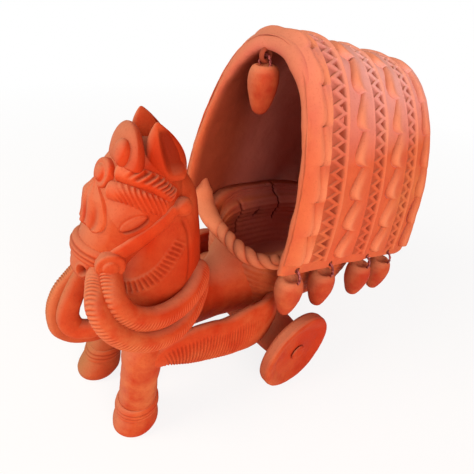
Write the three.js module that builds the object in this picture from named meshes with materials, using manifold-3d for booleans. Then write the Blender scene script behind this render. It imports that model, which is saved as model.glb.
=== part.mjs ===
// Terracotta horse cart ornament: the front half of a harnessed horse whose barrel runs into a
// covered two-wheeled cart, with clay bells on wire loops. Millimetres, +Z up, horse facing -Y.

import * as THREE from "three";
import { LoftGeometry } from "three/addons/geometries/LoftGeometry.js";
import { mergeVertices } from "three/addons/utils/BufferGeometryUtils.js";
import Module from "manifold-3d";

const wasm = await Module();
wasm.setup();

// Fits
const LUTE = 0.3; // slip joint between two luted clay pieces
const RUN = 0.4; // running clearance of a wheel on its pin, and of a wire in the clay

// Canopy: an arched shell that leans back with the cart, closed behind by a panel
const MOUTH_HALF = 48.1; // inner half width at the mouth
const MOUTH_RISE = 111.8; // inner height above the hem at the mouth
const MOUTH_Y = -12;
const HEM_OVER_WHEEL = 43.4; // hem at the mouth above the top of the wheel
const MOUTH_RAKE = 10.5; // degrees the mouth leans back
const MOUTH_POWER = 2.1; // roundness of the arch: 2 is an ellipse, higher is squarer
const BACK_HALF = 54;
const BACK_RISE = 133;
const BACK_Y = 130;
const HEM_DROP = 37; // fall of the hem from mouth to back
const BACK_RAKE = -2;
const BACK_POWER = 2.45;
const SHELL = 6; // wall of the canopy
const PANEL_INSET = 5; // back panel ahead of the rear edge
const PANEL_THICK = 6;

// Strips of clay laid over the canopy
const STRIP_FOOT = 8; // bare hem below the strips, where the loops pass
const SCALLOPS = 14; // thumb presses along an edge
const SCALLOP_DEEP = 8; // petals on the front edge of a band
const TRIM_WAVE = 3; // waves on the edge of a trim
const BAND_RISE = 2.2; // stamped field above the shell
const BAND_WIDTHS = [21.5, 34, 32]; // front to back
const RIDGE_RISE = 3.6; // rear ridge of a band
const RIDGE_WIDE = 4.5;
const TRIM_RISE = 3.4;
const FRONT_TRIM = 12.2; // width of the front trim
const REAR_TRIM = 11;
const TRIM_SETBACK = 0.6; // front trim behind the mouth
const LAST_GAP = 11.5; // last band to rear trim

// Tub, measured in the tilted frame of the cart from the foot of the mouth
const CART_TILT = 10;
const TUB_LONG = 62; // half length at the rim
const TUB_FRONT = 3; // front of the rim behind the mouth
const TUB_POWER = 3.4; // squareness of the plan
const TUB_WALL = 6;
const TUB_FLOOR = 7;
const TUB_RIM = 9.5; // flanged rim above the hem
const TUB_FLANGE = 2.5; // depth of the flange
const TUB_DEEP = 50; // underside below the hem
const LIP_DIP = 14; // scooped front lip
const ROPE_RIM = 4.8; // radius of the twisted rope on the lip
const ROPE_LOBES = 11;
const ROPE_SPAN = 74; // degrees of the rim that the rope covers, each way from the front

// Wheels and axle
const WHEEL_R = 30.3;
const WHEEL_Y = 11.3;
const WHEEL_OUT = 65.5; // outer face
const WHEEL_WIDE = 9.5;
const WHEEL_RIM = 7; // broad rim round the dished web
const WHEEL_DISH = 2.6; // web below the rim, each side
const PIN_R = 3.6;
const SHOULDER_R = 6.4;
const BEAM_HALF = 42; // thick middle of the axle
const BEAM_R = 16;
const BEAM_POST = 56; // width of the clay block between the axle and the tub
const CAP_R = 6;
const CAP_THICK = 1.8; // low ring with a dimple, below the rim

// Bells and the wire loops that carry them
const BELL_R = 9;
const BELL_TALL = 30;
const FRONT_BELL_TALL = 27;
const BELL_SHARES = {
  // places along each hem
  left: [0.09, 0.32, 0.63, 0.84],
  right: [0.28, 0.47, 0.66, 0.85],
};
const WIRE_R = 0.9;
const LOOP_R = 6.5; // centre line of a loop on the hem
const FRONT_LOOP_R = 4.4; // centre line of the loop under the crown
const CROWN_UP = 3.9; // crown of a bell above the wire that carries it
const HOLE_UP = 4.4; // pierced hole above the hem
const LUG_BEHIND = 3; // lug under the crown, behind the mouth
const LUG_ASIDE = -5;
const LUG_LONG = 6;
const LUG_WIDE = 4;
const LUG_DROP = 6.5;
const LUG_HOLE = 3.2; // hole below the crown

// Horse: stations run from the rump forwards, upwards, or down the face
const BARREL = [
  // along, half width, half height, middle height
  [10, 25, 25, 64.5],
  [-22, 22.5, 23, 64.5],
  [-50, 23, 22, 67.5],
  [-74, 25, 25, 73],
  [-90, 21, 21, 76],
  [-98, 13, 13, 77],
  [-101, 5, 5, 78],
];
const NECK = [
  // height, middle, half depth, half width
  [56, -66, 24, 18],
  [63, -65.5, 29, 21.5],
  [74, -65, 32.5, 24.5],
  [92, -64.5, 33.5, 25],
  [111, -60.5, 29, 23],
  [132, -58, 24, 20],
  [152, -58.5, 19.5, 16.5],
  [166, -62, 12, 12],
];
const HEAD_TURN = 10; // degrees to the horse's right
const HEAD_PIVOT = new THREE.Vector3(0, -68, 0);
const FACE_TOP = new THREE.Vector3(0, -86.5, 169);
const FACE_LOW = new THREE.Vector3(0, -108.5, 117);
const HEAD = [
  // share of the face line, half width, half depth, middle behind the face line
  [-0.3, 5, 5, 20],
  [-0.24, 11, 11, 20],
  [-0.12, 16.5, 17, 20.5],
  [0.05, 19.5, 22, 22],
  [0.27, 21, 23, 23],
  [0.5, 19.5, 18.8, 20.4],
  [0.75, 16.5, 15.5, 15.5],
  [0.95, 15.5, 13, 13],
  [1.06, 13, 10.5, 12],
  [1.13, 6, 5, 11],
];
const EYE_LONG = 9;
const EYE_HIGH = 5;
const EYE_RISE = 3;
const NOSTRIL_R = 2.6;
const BROW_R = 3.7; // height of a brow rope
const BROW_WIDE = 4.7; // half width of a brow rope
const STRAP_WIDE = 5; // half width of a flat strap
const STRAP_THICK = 2.6;
const KNOB_R = 5.2;
const BOSS_R = 6.4;
const FOREHEAD_BEARING = 14; // the forehead boss sits a little to the left of the middle
const PLATE_THICK = 2.2; // nose plate
const CREST_HALF = 17;
const CREST_ASIDE = 2.5;
const CREST_THICK = 8;
const CREST_TALL = 15.5;
const CREST_LEAN = 12; // degrees
const EAR_LONG = 27;
const EAR_WIDE = 9;
const EAR_THICK = 5;
const EAR_BASE = 163;
const LEG_TOP = 84;
const LEG = [
  // height, radius
  [0, 11.4],
  [2, 12.2],
  [9, 11.8],
  [15, 10.7],
  [30, 10.2],
  [48, 10],
  [62, 10.6],
  [72, 11],
  [79, 8.5],
  [LEG_TOP, 4],
];
const FEET = { left: [24, -96], right: [-28, -99.5] };
const LEG_HEADS = { left: [29.5, -86], right: [-22, -70] };
const ANKLE_LOW = 17;
const ANKLE_HIGH = 25;
const ANKLE_OUT = 2.4;
const SHAFT_PATH = [
  [36, -86, 65],
  [38, -72, 62.5],
  [39.5, -55, 61],
  [40, -38, 57.5],
  [40, -22, 54],
  [38, -4, 51],
  [34, 8, 50],
];
const SHAFT_SIZE = [
  // share of the length, half thickness, half height
  [0, 4, 5],
  [0.15, 5.2, 6.2],
  [0.4, 6.2, 8.2],
  [0.6, 6.6, 11],
  [0.8, 6.6, 15],
  [1, 5.5, 18],
];
const REINS = {
  inner_left: {
    wide: 6.3,
    thick: 5.6,
    path: [
      [14, -95, 122],
      [21, -98.5, 117],
      [26, -99, 110],
      [30, -95, 102.5],
      [32, -87.5, 97],
      [32.5, -78, 94],
      [31, -66, 93.2],
      [28, -54.5, 94.8],
      [23, -44, 97.5],
    ],
  },
  outer_left: {
    wide: 5.4,
    thick: 5,
    path: [
      [10, -100, 121],
      [18, -105, 117],
      [25, -107.5, 111],
      [31, -106.5, 103],
      [35, -100.5, 94],
      [37, -91, 86.5],
      [37, -80, 82.5],
      [35, -68, 81.5],
      [31, -55.5, 82.5],
      [26, -46, 85.5],
    ],
  },
  inner_right: {
    wide: 7.8,
    thick: 5.8,
    path: [
      [-16, -91, 112],
      [-16.5, -97, 101],
      [-16.5, -103, 93],
      [-16, -108, 86],
      [-15.5, -112, 78],
      [-15, -113.5, 70.5],
      [-13, -111.5, 63.5],
      [-10, -105, 61],
      [-6, -94, 62],
    ],
  },
  outer_right: {
    wide: 5.2,
    thick: 4.8,
    path: [
      [-19, -90, 118],
      [-20, -97, 104],
      [-22, -104.5, 95],
      [-22.5, -111.5, 88.5],
      [-23, -116.5, 79.5],
      [-23, -118.8, 67.5],
      [-22, -117, 55.5],
      [-20, -109, 48],
      [-17, -98, 46],
      [-16, -91, 46],
    ],
  },
};

const v3 = (x, y, z) => new THREE.Vector3(x, y, z);
const { lerp, degToRad: rad, clamp, smoothstep } = THREE.MathUtils;
const X = v3(1, 0, 0);
const Y = v3(0, 1, 0);
const Z = v3(0, 0, 1);

// Helpers

// Smooth curve through rows whose first number is the station.
function smooth(rows) {
  const stations = Float32Array.from(rows, (row) => row[0]);
  const values = Float32Array.from(rows.flatMap((row) => row.slice(1)));
  const curve = new THREE.CubicInterpolant(stations, values, rows[0].length - 1);
  return (at) => Array.from(curve.evaluate(at));
}

function spread(count, make) {
  return Array.from({ length: count }, (_, i) => make(i));
}

// Elliptical section with half axes a along one direction and b along another.
function ring(centre, across, a, beside, b, sides) {
  return spread(sides, (i) => {
    const angle = (i / sides) * 2 * Math.PI;
    const point = centre.clone().addScaledVector(across, a * Math.cos(angle));
    return point.addScaledVector(beside, b * Math.sin(angle));
  });
}

function loft(sections, capped = true) {
  return solid(new LoftGeometry(sections, { capStart: capped, capEnd: capped }));
}

function solid(geometry) {
  const bare = new THREE.BufferGeometry();
  bare.setAttribute("position", geometry.getAttribute("position"));
  bare.setIndex(geometry.index);
  const merged = mergeVertices(bare, 1e-4);
  const corners = merged.index.array;
  const triVerts = [];
  for (let i = 0; i < corners.length; i += 3) {
    const [a, b, c] = corners.slice(i, i + 3);
    if (a !== b && b !== c && c !== a) triVerts.push(a, b, c);
  }
  const vertProperties = merged.getAttribute("position").array;
  return new wasm.Manifold(
    new wasm.Mesh({ numProp: 3, vertProperties, triVerts: Uint32Array.from(triVerts) }),
  );
}

// Cuts away every host and keeps the largest body that is left.
function cut(piece, ...hosts) {
  const left = hosts.reduce((body, host) => body.subtract(host), piece);
  const bodies = left.decompose();
  return bodies.reduce((big, body) => (body.volume() > big.volume() ? body : big));
}

// Roll of clay along a curve, with an elliptical section whose first axis points outwards.
function roll(curve, steps, sides, size, outward) {
  const frames = curve.computeFrenetFrames(steps, false);
  const sections = spread(steps + 1, (i) => {
    const t = i / steps;
    const tangent = frames.tangents[i];
    const across = outward ? outward(t).projectOnPlane(tangent).normalize() : frames.normals[i];
    const beside = v3(0, 0, 0).crossVectors(tangent, across);
    const [a, b] = size(t);
    return ring(curve.getPointAt(t), across, a, beside, b, sides);
  });
  return loft(sections);
}

// Rounds off both ends of a roll over the given share of its length.
function tip(t, share) {
  const near = clamp(Math.min(t, 1 - t) / share, 0, 1);
  return 0.3 + 0.7 * Math.sqrt(1 - (1 - near) ** 2);
}

function spline(points) {
  return new THREE.CatmullRomCurve3(points.map((p) => v3(...p)));
}

function turned(profile, segments) {
  return new THREE.LatheGeometry(profile.map(([r, h]) => new THREE.Vector2(r, h)), segments);
}

// Stands a lathe, whose axis is +Y, along a direction at a point.
function stand(geometry, point, axis) {
  const turn = new THREE.Quaternion().setFromUnitVectors(Y, axis.clone().normalize());
  return geometry.applyQuaternion(turn).translate(point.x, point.y, point.z);
}

// Canopy

const CANOPY_LONG = BACK_Y - MOUTH_Y;
const MOUTH_HEM = 2 * WHEEL_R + HEM_OVER_WHEEL;
const BACK_HEM = MOUTH_HEM - HEM_DROP;

function hem(s) {
  const x = lerp(MOUTH_HALF, BACK_HALF, s);
  return v3(x, lerp(MOUTH_Y, BACK_Y, s), lerp(MOUTH_HEM, BACK_HEM, s));
}

const archRise = (s) => lerp(MOUTH_RISE, BACK_RISE, s);
const archPower = (s) => 2 / lerp(MOUTH_POWER, BACK_POWER, s);

// Point over the arch: s from mouth to back, angle from the left hem to the right one.
function arch(s, angle, lift) {
  const foot = hem(s);
  const lean = rad(lerp(MOUTH_RAKE, BACK_RAKE, s));
  const c = Math.cos(angle);
  const x = (foot.x + lift) * Math.sign(c) * Math.abs(c) ** archPower(s);
  const rise = (archRise(s) + lift) * Math.max(0, Math.sin(angle)) ** archPower(s);
  return v3(x, foot.y + rise * Math.sin(lean), foot.z + rise * Math.cos(lean));
}

function canopyShell(grow) {
  const steps = 26;
  const angles = spread(steps + 1, (i) => (Math.PI * i) / steps);
  const sections = [0, 0.5, 1].map((s) => {
    const outer = angles.map((angle) => arch(s, Math.PI - angle, SHELL + grow));
    const inner = angles.map((angle) => arch(s, angle, -grow));
    return [...outer, ...inner];
  });
  return loft(sections);
}

function backPanel() {
  const steps = 24;
  const rear = 1 - PANEL_INSET / CANOPY_LONG;
  const front = rear - PANEL_THICK / CANOPY_LONG;
  const inset = -LUTE - 0.15;
  const sections = [front, rear].map((s) =>
    spread(steps + 1, (i) => arch(s, Math.PI * (1 - i / steps), inset)),
  );
  return loft(sections);
}

// Strip of clay over the arch. Its outline at each share of the way over is a list of corners,
// each a distance behind the mouth and a rise above the shell.
function strip(outline) {
  const steps = SCALLOPS * 3;
  const sections = spread(steps + 1, (i) =>
    outline(i / steps).map(([behind, rise]) => {
      const s = behind / CANOPY_LONG;
      const foot = Math.asin((STRIP_FOOT / archRise(s)) ** (1 / archPower(s)));
      return arch(s, lerp(foot, Math.PI - foot, i / steps), SHELL + LUTE + rise);
    }),
  );
  return loft(sections);
}

// Thumb presses hang down each side: blunt below and fading above, 0 between two and 1 at the tip.
function scallop(share) {
  const up = SCALLOPS * Math.min(share, 1 - share);
  const along = Math.max(0, up - Math.floor(up + 1e-9));
  return Math.sin(Math.PI * Math.sqrt(along));
}

function stampedBand(front, wide, deep) {
  const rear = front + wide;
  return strip((share) => {
    const edge = front + deep * (1 - scallop(share));
    return [
      [edge, 0],
      [edge, BAND_RISE],
      [rear - RIDGE_WIDE, BAND_RISE],
      [rear - RIDGE_WIDE * 0.4, RIDGE_RISE],
      [rear, 0],
    ];
  });
}

// Round-backed trim whose rear or front edge is scalloped.
function trim(front, wide, wavyRear) {
  const rear = front + wide;
  return strip((share) => {
    const wave = TRIM_WAVE * (1 - scallop(share));
    const a = wavyRear ? front : front + wave;
    const b = wavyRear ? rear - wave : rear;
    return [
      [a, 0],
      [a, TRIM_RISE * 0.45],
      [lerp(a, b, 0.5), TRIM_RISE],
      [b, TRIM_RISE * 0.6],
      [b, 0],
    ];
  });
}

// Tub

const cartFrame = new THREE.Matrix4()
  .makeTranslation(0, MOUTH_Y, MOUTH_HEM)
  .multiply(new THREE.Matrix4().makeRotationX(-rad(CART_TILT)));
const TUB_FORM = [
  // height, share of the half width, share of the half length
  [-TUB_DEEP, 0.56, 0.74],
  [-TUB_DEEP * 0.92, 0.68, 0.83],
  [-TUB_DEEP * 0.72, 0.77, 0.89],
  [-TUB_DEEP * 0.4, 0.83, 0.94],
  [TUB_RIM - TUB_FLANGE * 2, 0.885, 0.97],
  [TUB_RIM - TUB_FLANGE, 1, 1],
  [TUB_RIM, 1, 1],
];
const tubForm = smooth(TUB_FORM);
const TUB_LEVELS = TUB_FORM.map(([height]) => height);

// Point on the wall of the tub at a height, by plan angle from the left side towards the back.
function tubPoint(angle, height, inset) {
  const [wide, long] = tubForm(height);
  const power = 2 / TUB_POWER;
  const c = Math.cos(angle);
  const k = Math.sin(angle);
  const reach = (TUB_LONG * long - inset) * Math.sign(k) * Math.abs(k) ** power;
  const y = TUB_FRONT + TUB_LONG + reach;
  const s = clamp(y / CANOPY_LONG, 0, 1);
  const half = (lerp(MOUTH_HALF, BACK_HALF, s) - LUTE) * wide - inset;
  const front = Math.max(0, -k) ** 6;
  const dip = LIP_DIP * front * smoothstep(height, -LIP_DIP, TUB_RIM);
  const x = half * Math.sign(c) * Math.abs(c) ** power;
  return v3(x, y, height - dip).applyMatrix4(cartFrame);
}

function tubRow(height, inset, raise) {
  const sides = 26;
  return spread(sides, (i) =>
    tubPoint((i / sides) * 2 * Math.PI, height, inset).addScaledVector(Z, raise),
  );
}

function tubSolid(grow) {
  const rows = TUB_LEVELS.map((height) => tubRow(height, -grow, 0));
  const under = tubRow(-TUB_DEEP, -grow, -grow);
  const over = tubRow(TUB_RIM, -grow, grow);
  const shelf = tubRow(TUB_RIM, TUB_WALL + 1, grow);
  return grow ? loft([under, ...rows.slice(1, -1), over, shelf]) : loft([...rows, shelf]);
}

function tub() {
  const levels = [-TUB_DEEP + TUB_FLOOR, ...TUB_LEVELS.slice(2, 5), TUB_RIM];
  const rows = levels.map((height) => tubRow(height, TUB_WALL, 0));
  return tubSolid(0).subtract(loft([...rows, tubRow(TUB_RIM, TUB_WALL, LIP_DIP)]));
}

function lipRope() {
  const stops = 24;
  const points = spread(stops + 1, (i) => {
    const angle = rad(lerp(-90 - ROPE_SPAN, -90 + ROPE_SPAN, i / stops));
    return tubPoint(angle, TUB_RIM, TUB_WALL / 2).addScaledVector(Z, ROPE_RIM / 4);
  });
  const curve = new THREE.CatmullRomCurve3(points);
  return roll(curve, ROPE_LOBES * 2, 5, (t) => {
    const lobe = 1 + 0.16 * Math.cos(2 * Math.PI * ROPE_LOBES * t);
    const size = ROPE_RIM * lobe * tip(t, 0.06);
    return [size, size];
  });
}

// Wheels and axle

function axleBeam() {
  const end = WHEEL_OUT - WHEEL_DISH + RUN;
  const inner = WHEEL_OUT - WHEEL_WIDE + WHEEL_DISH - RUN;
  const half = [
    [BEAM_HALF, BEAM_R],
    [lerp(BEAM_HALF, inner, 0.6), BEAM_R * 0.75],
    [inner, SHOULDER_R],
    [inner, PIN_R],
    [end, PIN_R],
  ];
  const profile = [
    [0, -end],
    ...half.map(([x, r]) => [r, -x]).reverse(),
    ...half.map(([x, r]) => [r, x]),
    [0, end],
  ];
  const beam = turned(profile, 14).rotateZ(-Math.PI / 2).translate(0, WHEEL_Y, WHEEL_R);
  const post = new THREE.BoxGeometry(BEAM_POST, BEAM_R * 1.7, TUB_DEEP);
  post.translate(0, WHEEL_Y, WHEEL_R + TUB_DEEP / 2);
  return solid(beam).add(solid(post));
}

function wheel() {
  const half = WHEEL_WIDE / 2;
  const web = WHEEL_R - WHEEL_RIM;
  const face = [
    [PIN_R + RUN, half - WHEEL_DISH],
    [web, half - WHEEL_DISH],
    [web + WHEEL_DISH, half],
    [WHEEL_R - WHEEL_DISH / 2, half],
    [WHEEL_R, half * 0.5],
  ];
  const profile = [...face.map(([r, h]) => [r, -h]), ...face.reverse()];
  profile.push(profile[0]);
  return solid(turned(profile, 20).rotateZ(-Math.PI / 2));
}

function axleCap() {
  const profile = [
    [0, 0],
    [CAP_R, 0],
    [CAP_R, CAP_THICK * 0.5],
    [CAP_R * 0.75, CAP_THICK],
    [CAP_R * 0.4, CAP_THICK],
    [0, CAP_THICK * 0.4],
  ];
  return solid(turned(profile, 12).rotateZ(-Math.PI / 2));
}

// Bells: each hangs below its hole, which is the origin here

// The wire bends inside the wall, so its hole clears the bend as well as the wire.
const WIRE_BEND = LOOP_R - Math.sqrt(LOOP_R ** 2 - SHELL ** 2 / 4);
const LOOP_RIDE = WIRE_BEND / 2; // top of the wire's centre line above the centre of its hole
const HOLE_SIDES = 6;
const HOLE_R = (WIRE_R + LOOP_RIDE + RUN) / Math.cos(Math.PI / HOLE_SIDES);

function loop(radius, grow) {
  const torus = new THREE.TorusGeometry(radius, WIRE_R + grow, 4, 12);
  return solid(torus.rotateX(Math.PI / 2).translate(0, 0, LOOP_RIDE - radius));
}

function bell(radius, tall) {
  const profile = [
    [0, 0],
    [BELL_R * 0.45, 1.4],
    [BELL_R * 0.8, tall * 0.33],
    [BELL_R, tall * 0.66],
    [BELL_R * 0.96, tall * 0.86],
    [BELL_R * 0.6, tall],
    [0, tall - 0.4],
  ];
  const low = LOOP_RIDE - 2 * radius + CROWN_UP - tall;
  const clay = turned(profile, 10).rotateX(Math.PI / 2).translate(0, 0, low);
  return cut(solid(clay), loop(radius, RUN));
}

// Pierced hole in the hem: side is 1 for the horse's left, -1 for its right.
function hemHole(s, side) {
  const foot = hem(s);
  return v3(side * (foot.x + SHELL / 2), foot.y, foot.z + HOLE_UP);
}

const crown = arch(LUG_BEHIND / CANOPY_LONG, Math.PI / 2, 0);
const crownHole = v3(LUG_ASIDE, crown.y, crown.z - LUG_HOLE);

function crownLug() {
  const lug = new THREE.BoxGeometry(LUG_WIDE, LUG_LONG, LUG_DROP + SHELL / 2);
  const middle = crown.z - LUG_DROP / 2 + SHELL / 4;
  return solid(lug.translate(LUG_ASIDE, crown.y + LUG_LONG / 2 - LUG_BEHIND, middle));
}

function piercing(hole) {
  const drill = new THREE.CylinderGeometry(HOLE_R, HOLE_R, SHELL * 3, HOLE_SIDES);
  return solid(drill.rotateZ(Math.PI / 2).translate(hole.x, hole.y, hole.z));
}

// Horse

function barrel(grow) {
  return loft(BARREL.map(([y, wide, tall, mid]) => ring(v3(0, y, mid), X, wide + grow, Z, tall + grow, 16)));
}

function neck(grow) {
  return loft(NECK.map(([z, mid, deep, wide]) => ring(v3(0, mid, z), X, wide + grow, Y, deep + grow, 16)));
}

const headForm = smooth(HEAD);
const faceLine = FACE_LOW.clone().sub(FACE_TOP);
const faceOut = v3(0, faceLine.z, -faceLine.y).normalize();
const headTurn = new THREE.Matrix4()
  .makeTranslation(HEAD_PIVOT)
  .multiply(new THREE.Matrix4().makeRotationZ(-rad(HEAD_TURN)))
  .multiply(new THREE.Matrix4().makeTranslation(HEAD_PIVOT.clone().negate()));

// Point on the head: t from the poll to the muzzle, bearing in degrees from the face to its left.
function headPoint(t, bearing, lift) {
  const [wide, deep, back] = headForm(t);
  const point = FACE_TOP.clone().addScaledVector(faceLine, t).addScaledVector(faceOut, -back);
  point.addScaledVector(X, (wide + lift) * Math.sin(rad(bearing)));
  point.addScaledVector(faceOut, (deep + lift) * Math.cos(rad(bearing)));
  return point.applyMatrix4(headTurn);
}

function headOut(t, bearing) {
  return headPoint(t, bearing, 1).sub(headPoint(t, bearing, 0)).normalize();
}

function skull(grow) {
  const sides = 18;
  return loft(HEAD.map(([t]) => spread(sides, (i) => headPoint(t, 90 - (i / sides) * 360, grow))));
}

// Ellipsoid on the head: half axes down the face, round it and out of it, with a slant in degrees.
function headBump(t, bearing, size, slant, lift) {
  const out = headOut(t, bearing);
  const down = headPoint(t + 0.05, bearing, 0).sub(headPoint(t, bearing, 0));
  down.projectOnPlane(out).normalize().applyAxisAngle(out, rad(slant));
  const beside = v3(0, 0, 0).crossVectors(out, down);
  const place = new THREE.Matrix4().makeBasis(down, beside, out);
  const ball = new THREE.SphereGeometry(1, 8, 5).scale(...size);
  return solid(ball.applyMatrix4(place.setPosition(headPoint(t, bearing, lift))));
}

function head(grow) {
  return [1, -1].reduce((body, side) => {
    const lid = [EYE_HIGH + grow, EYE_LONG + grow, EYE_RISE + grow];
    const eye = headBump(0.36, side * 66, lid, side * 18, 0);
    const nostril = headBump(0.94, side * 42, [NOSTRIL_R, NOSTRIL_R, NOSTRIL_R], 0, 0);
    return grow ? body.add(eye) : body.add(eye).subtract(nostril);
  }, skull(grow));
}

// Roll pressed onto the head along a path of [t, bearing] stops.
function headRoll(path, steps, sides, size, sink) {
  const curve = new THREE.CatmullRomCurve3(path.map(([t, bearing]) => headPoint(t, bearing, -sink)));
  const lie = smooth(path.map(([t, bearing], i) => [i / (path.length - 1), t, bearing]));
  return roll(curve, steps, sides, size, (t) => headOut(...lie(t)));
}

const UPPER_BROW = [
  [-0.03, 30],
  [-0.05, 58],
  [-0.05, 84],
  [-0.01, 102],
  [0.05, 118],
];
const LOWER_BROW = [
  [0.12, 24],
  [0.13, 48],
  [0.135, 72],
  [0.15, 92],
  [0.18, 106],
];

function browRope(side, path, grow) {
  const lay = path.map(([t, bearing]) => [t, side * bearing]);
  const size = (t) => [BROW_R * tip(t, 0.12) + grow, BROW_WIDE * tip(t, 0.12) + grow];
  return headRoll(lay, 9, 6, size, 0.2);
}

function cheekStrap(side) {
  const lay = [
    [0.12, 124],
    [0.3, 106],
    [0.5, 92],
    [0.7, 80],
  ].map(([t, bearing]) => [t, side * bearing]);
  const strap = headRoll(lay, 8, 6, (t) => [STRAP_THICK, STRAP_WIDE * tip(t, 0.1)], 0.4);
  return strap.add(earKnob(side, 0));
}

function earKnob(side, grow) {
  const knob = new THREE.SphereGeometry(KNOB_R + grow, 10, 7);
  const at = headPoint(0.1, side * 127, 1.2);
  return solid(knob.translate(at.x, at.y, at.z));
}

function noseBand() {
  const lay = [-60, -30, 0, 30, 60].map((bearing) => [0.78, bearing]);
  return headRoll(lay, 10, 6, (t) => [STRAP_THICK, STRAP_WIDE * (0.5 + 0.5 * tip(t, 0.1))], 0.4);
}

// Shield-shaped plate on the face with a ridge down its middle
function nosePlate() {
  const outline = [
    [0.18, 12],
    [0.26, 28],
    [0.36, 35],
    [0.47, 36],
    [0.55, 24],
    [0.6, 6],
  ];
  const sections = outline.map(([t, half]) => {
    const top = [1, 0.5, 0, -0.5, -1].map((share) => {
      const rise = PLATE_THICK + (share === 0 ? PLATE_THICK / 2 : 0);
      return headPoint(t, half * share, rise);
    });
    return [...top, ...[-1, 0, 1].map((share) => headPoint(t, half * share, -1))];
  });
  return loft(sections);
}

const BOSS_PROFILE = [
  // share of the radius, height
  [0, -5],
  [1, -5],
  [1, 2.2],
  [0.86, 3.6],
  [0.56, 3.9],
  [0.5, 5],
  [0.3, 6],
  [0, 6.3],
];

// Stepped round boss with a button in the middle
function boss(at, axis, grow) {
  const profile = BOSS_PROFILE.map(([r, h], i) => {
    const reach = r ? r * BOSS_R + grow : 0;
    return [reach, i > 1 ? h + grow : h - grow];
  });
  return solid(stand(turned(profile, 12), at, axis));
}

function muzzleBoss(side, grow) {
  return boss(headPoint(0.77, side * 82, 0), headOut(0.77, side * 82), grow);
}

function foreheadBoss(grow) {
  return boss(headPoint(0.07, FOREHEAD_BEARING, -2), headOut(0.07, FOREHEAD_BEARING), grow);
}

// Rounded forelock plate that stands on the brow
function crest(grow) {
  const plate = new THREE.SphereGeometry(1, 14, 9);
  plate.scale(CREST_HALF + grow, CREST_THICK + grow, CREST_TALL + grow).rotateX(-rad(CREST_LEAN));
  plate.translate(CREST_ASIDE, FACE_TOP.y + 12, FACE_TOP.z + 2.5).applyMatrix4(headTurn);
  return solid(plate);
}

function crestBoss() {
  const knob = new THREE.SphereGeometry(1, 10, 7);
  knob.scale(5.6, 4.4, 7.6).rotateX(-rad(CREST_LEAN));
  const aside = CREST_ASIDE + CREST_HALF * 0.55;
  knob.translate(aside, FACE_TOP.y + 12 - CREST_THICK * 0.7, FACE_TOP.z + 5.5);
  return solid(knob.applyMatrix4(headTurn));
}

// Petal with its hollow turned outwards and a little forwards
function ear(side) {
  const broad = v3(side * 0.4, 0.92, 0).normalize();
  const face = v3(side * 0.92, -0.4, 0).normalize();
  const petal = (wide, thick, low, high, out) =>
    [0, 0.2, 0.45, 0.7, 0.9, 1].map((u) => {
      const swell = Math.max(0.12, Math.sin(Math.PI * lerp(0.22, 0.97, u)) ** 0.8);
      const z = lerp(low, high, u);
      const up = (z - EAR_BASE) / EAR_LONG;
      const centre = v3(side * lerp(13.5, 11.5, up), lerp(-57.5, -63.5, up), z);
      centre.addScaledVector(face, out);
      const [a, b] = side > 0 ? [face, broad] : [broad, face];
      const [p, q] = side > 0 ? [thick, wide] : [wide, thick];
      return ring(centre, a, p * swell, b, q * swell, 10);
    });
  const top = EAR_BASE + EAR_LONG;
  const outside = loft(petal(EAR_WIDE, EAR_THICK, EAR_BASE, top, 0));
  const hollow = loft(petal(EAR_WIDE * 0.64, EAR_THICK, EAR_BASE + 6, top - 3, EAR_THICK));
  return outside.subtract(hollow).transform(headTurn.elements);
}

const legForm = smooth(LEG);

function legRing(name, z, grow) {
  const foot = new THREE.Vector2(...FEET[name]);
  const at = foot.lerp(new THREE.Vector2(...LEG_HEADS[name]), z / LEG_TOP);
  const radius = legForm(z)[0] + grow;
  return ring(v3(at.x, at.y, z), X, radius, Y, radius, 14);
}

function leg(name, grow) {
  return loft(LEG.map(([z]) => legRing(name, z, grow)));
}

function ankleBand(name) {
  const rows = [
    [ANKLE_LOW, ANKLE_OUT / 2],
    [ANKLE_LOW + ANKLE_OUT / 2, ANKLE_OUT],
    [ANKLE_HIGH - ANKLE_OUT / 2, ANKLE_OUT],
    [ANKLE_HIGH, ANKLE_OUT / 2],
    [ANKLE_HIGH, LUTE],
    [ANKLE_LOW, LUTE],
    [ANKLE_LOW, ANKLE_OUT / 2],
  ];
  return loft(rows.map(([z, out]) => legRing(name, z, out)), false);
}

function shaft(side, grow) {
  const last = SHAFT_PATH.length - 1;
  const curve = spline(SHAFT_PATH.map(([x, y, z], i) => [side * x, i === last ? y + grow : y, z]));
  const size = smooth(SHAFT_SIZE);
  return roll(curve, 10, 9, (t) => size(t).map((half) => half + grow), () => X.clone());
}

function rein(name, grow) {
  const { wide, thick, path } = REINS[name];
  const size = (t) => [thick * tip(t, 0.1) + grow, wide * tip(t, 0.1) + grow];
  return roll(spline(path), 15, 7, size, () => X.clone());
}

// Assembly

const cart = new THREE.Group();
const HORSE = 0xc8471c;
const HARNESS = 0xd0502a;
const CANOPY = 0xe06946;
const TUB = 0xb04a28;
const WHEEL = 0xc53f1e;
const BELL = 0xb6482c;
const WIRE = 0x6a2418;
const sides = [
  ["left", 1],
  ["right", -1],
];

function mesh(name, body, color, metalness = 0) {
  const { vertProperties, triVerts } = body.getMesh();
  const geometry = new THREE.BufferGeometry();
  geometry.setAttribute("position", new THREE.BufferAttribute(new Float32Array(vertProperties), 3));
  geometry.setIndex(Array.from(triVerts));
  geometry.computeVertexNormals();
  const roughness = metalness ? 0.45 : 0.85;
  const made = new THREE.Mesh(geometry, new THREE.MeshStandardMaterial({ color, roughness, metalness }));
  made.name = name;
  return made;
}

function add(name, body, color) {
  cart.add(mesh(name, body, color));
}

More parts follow.
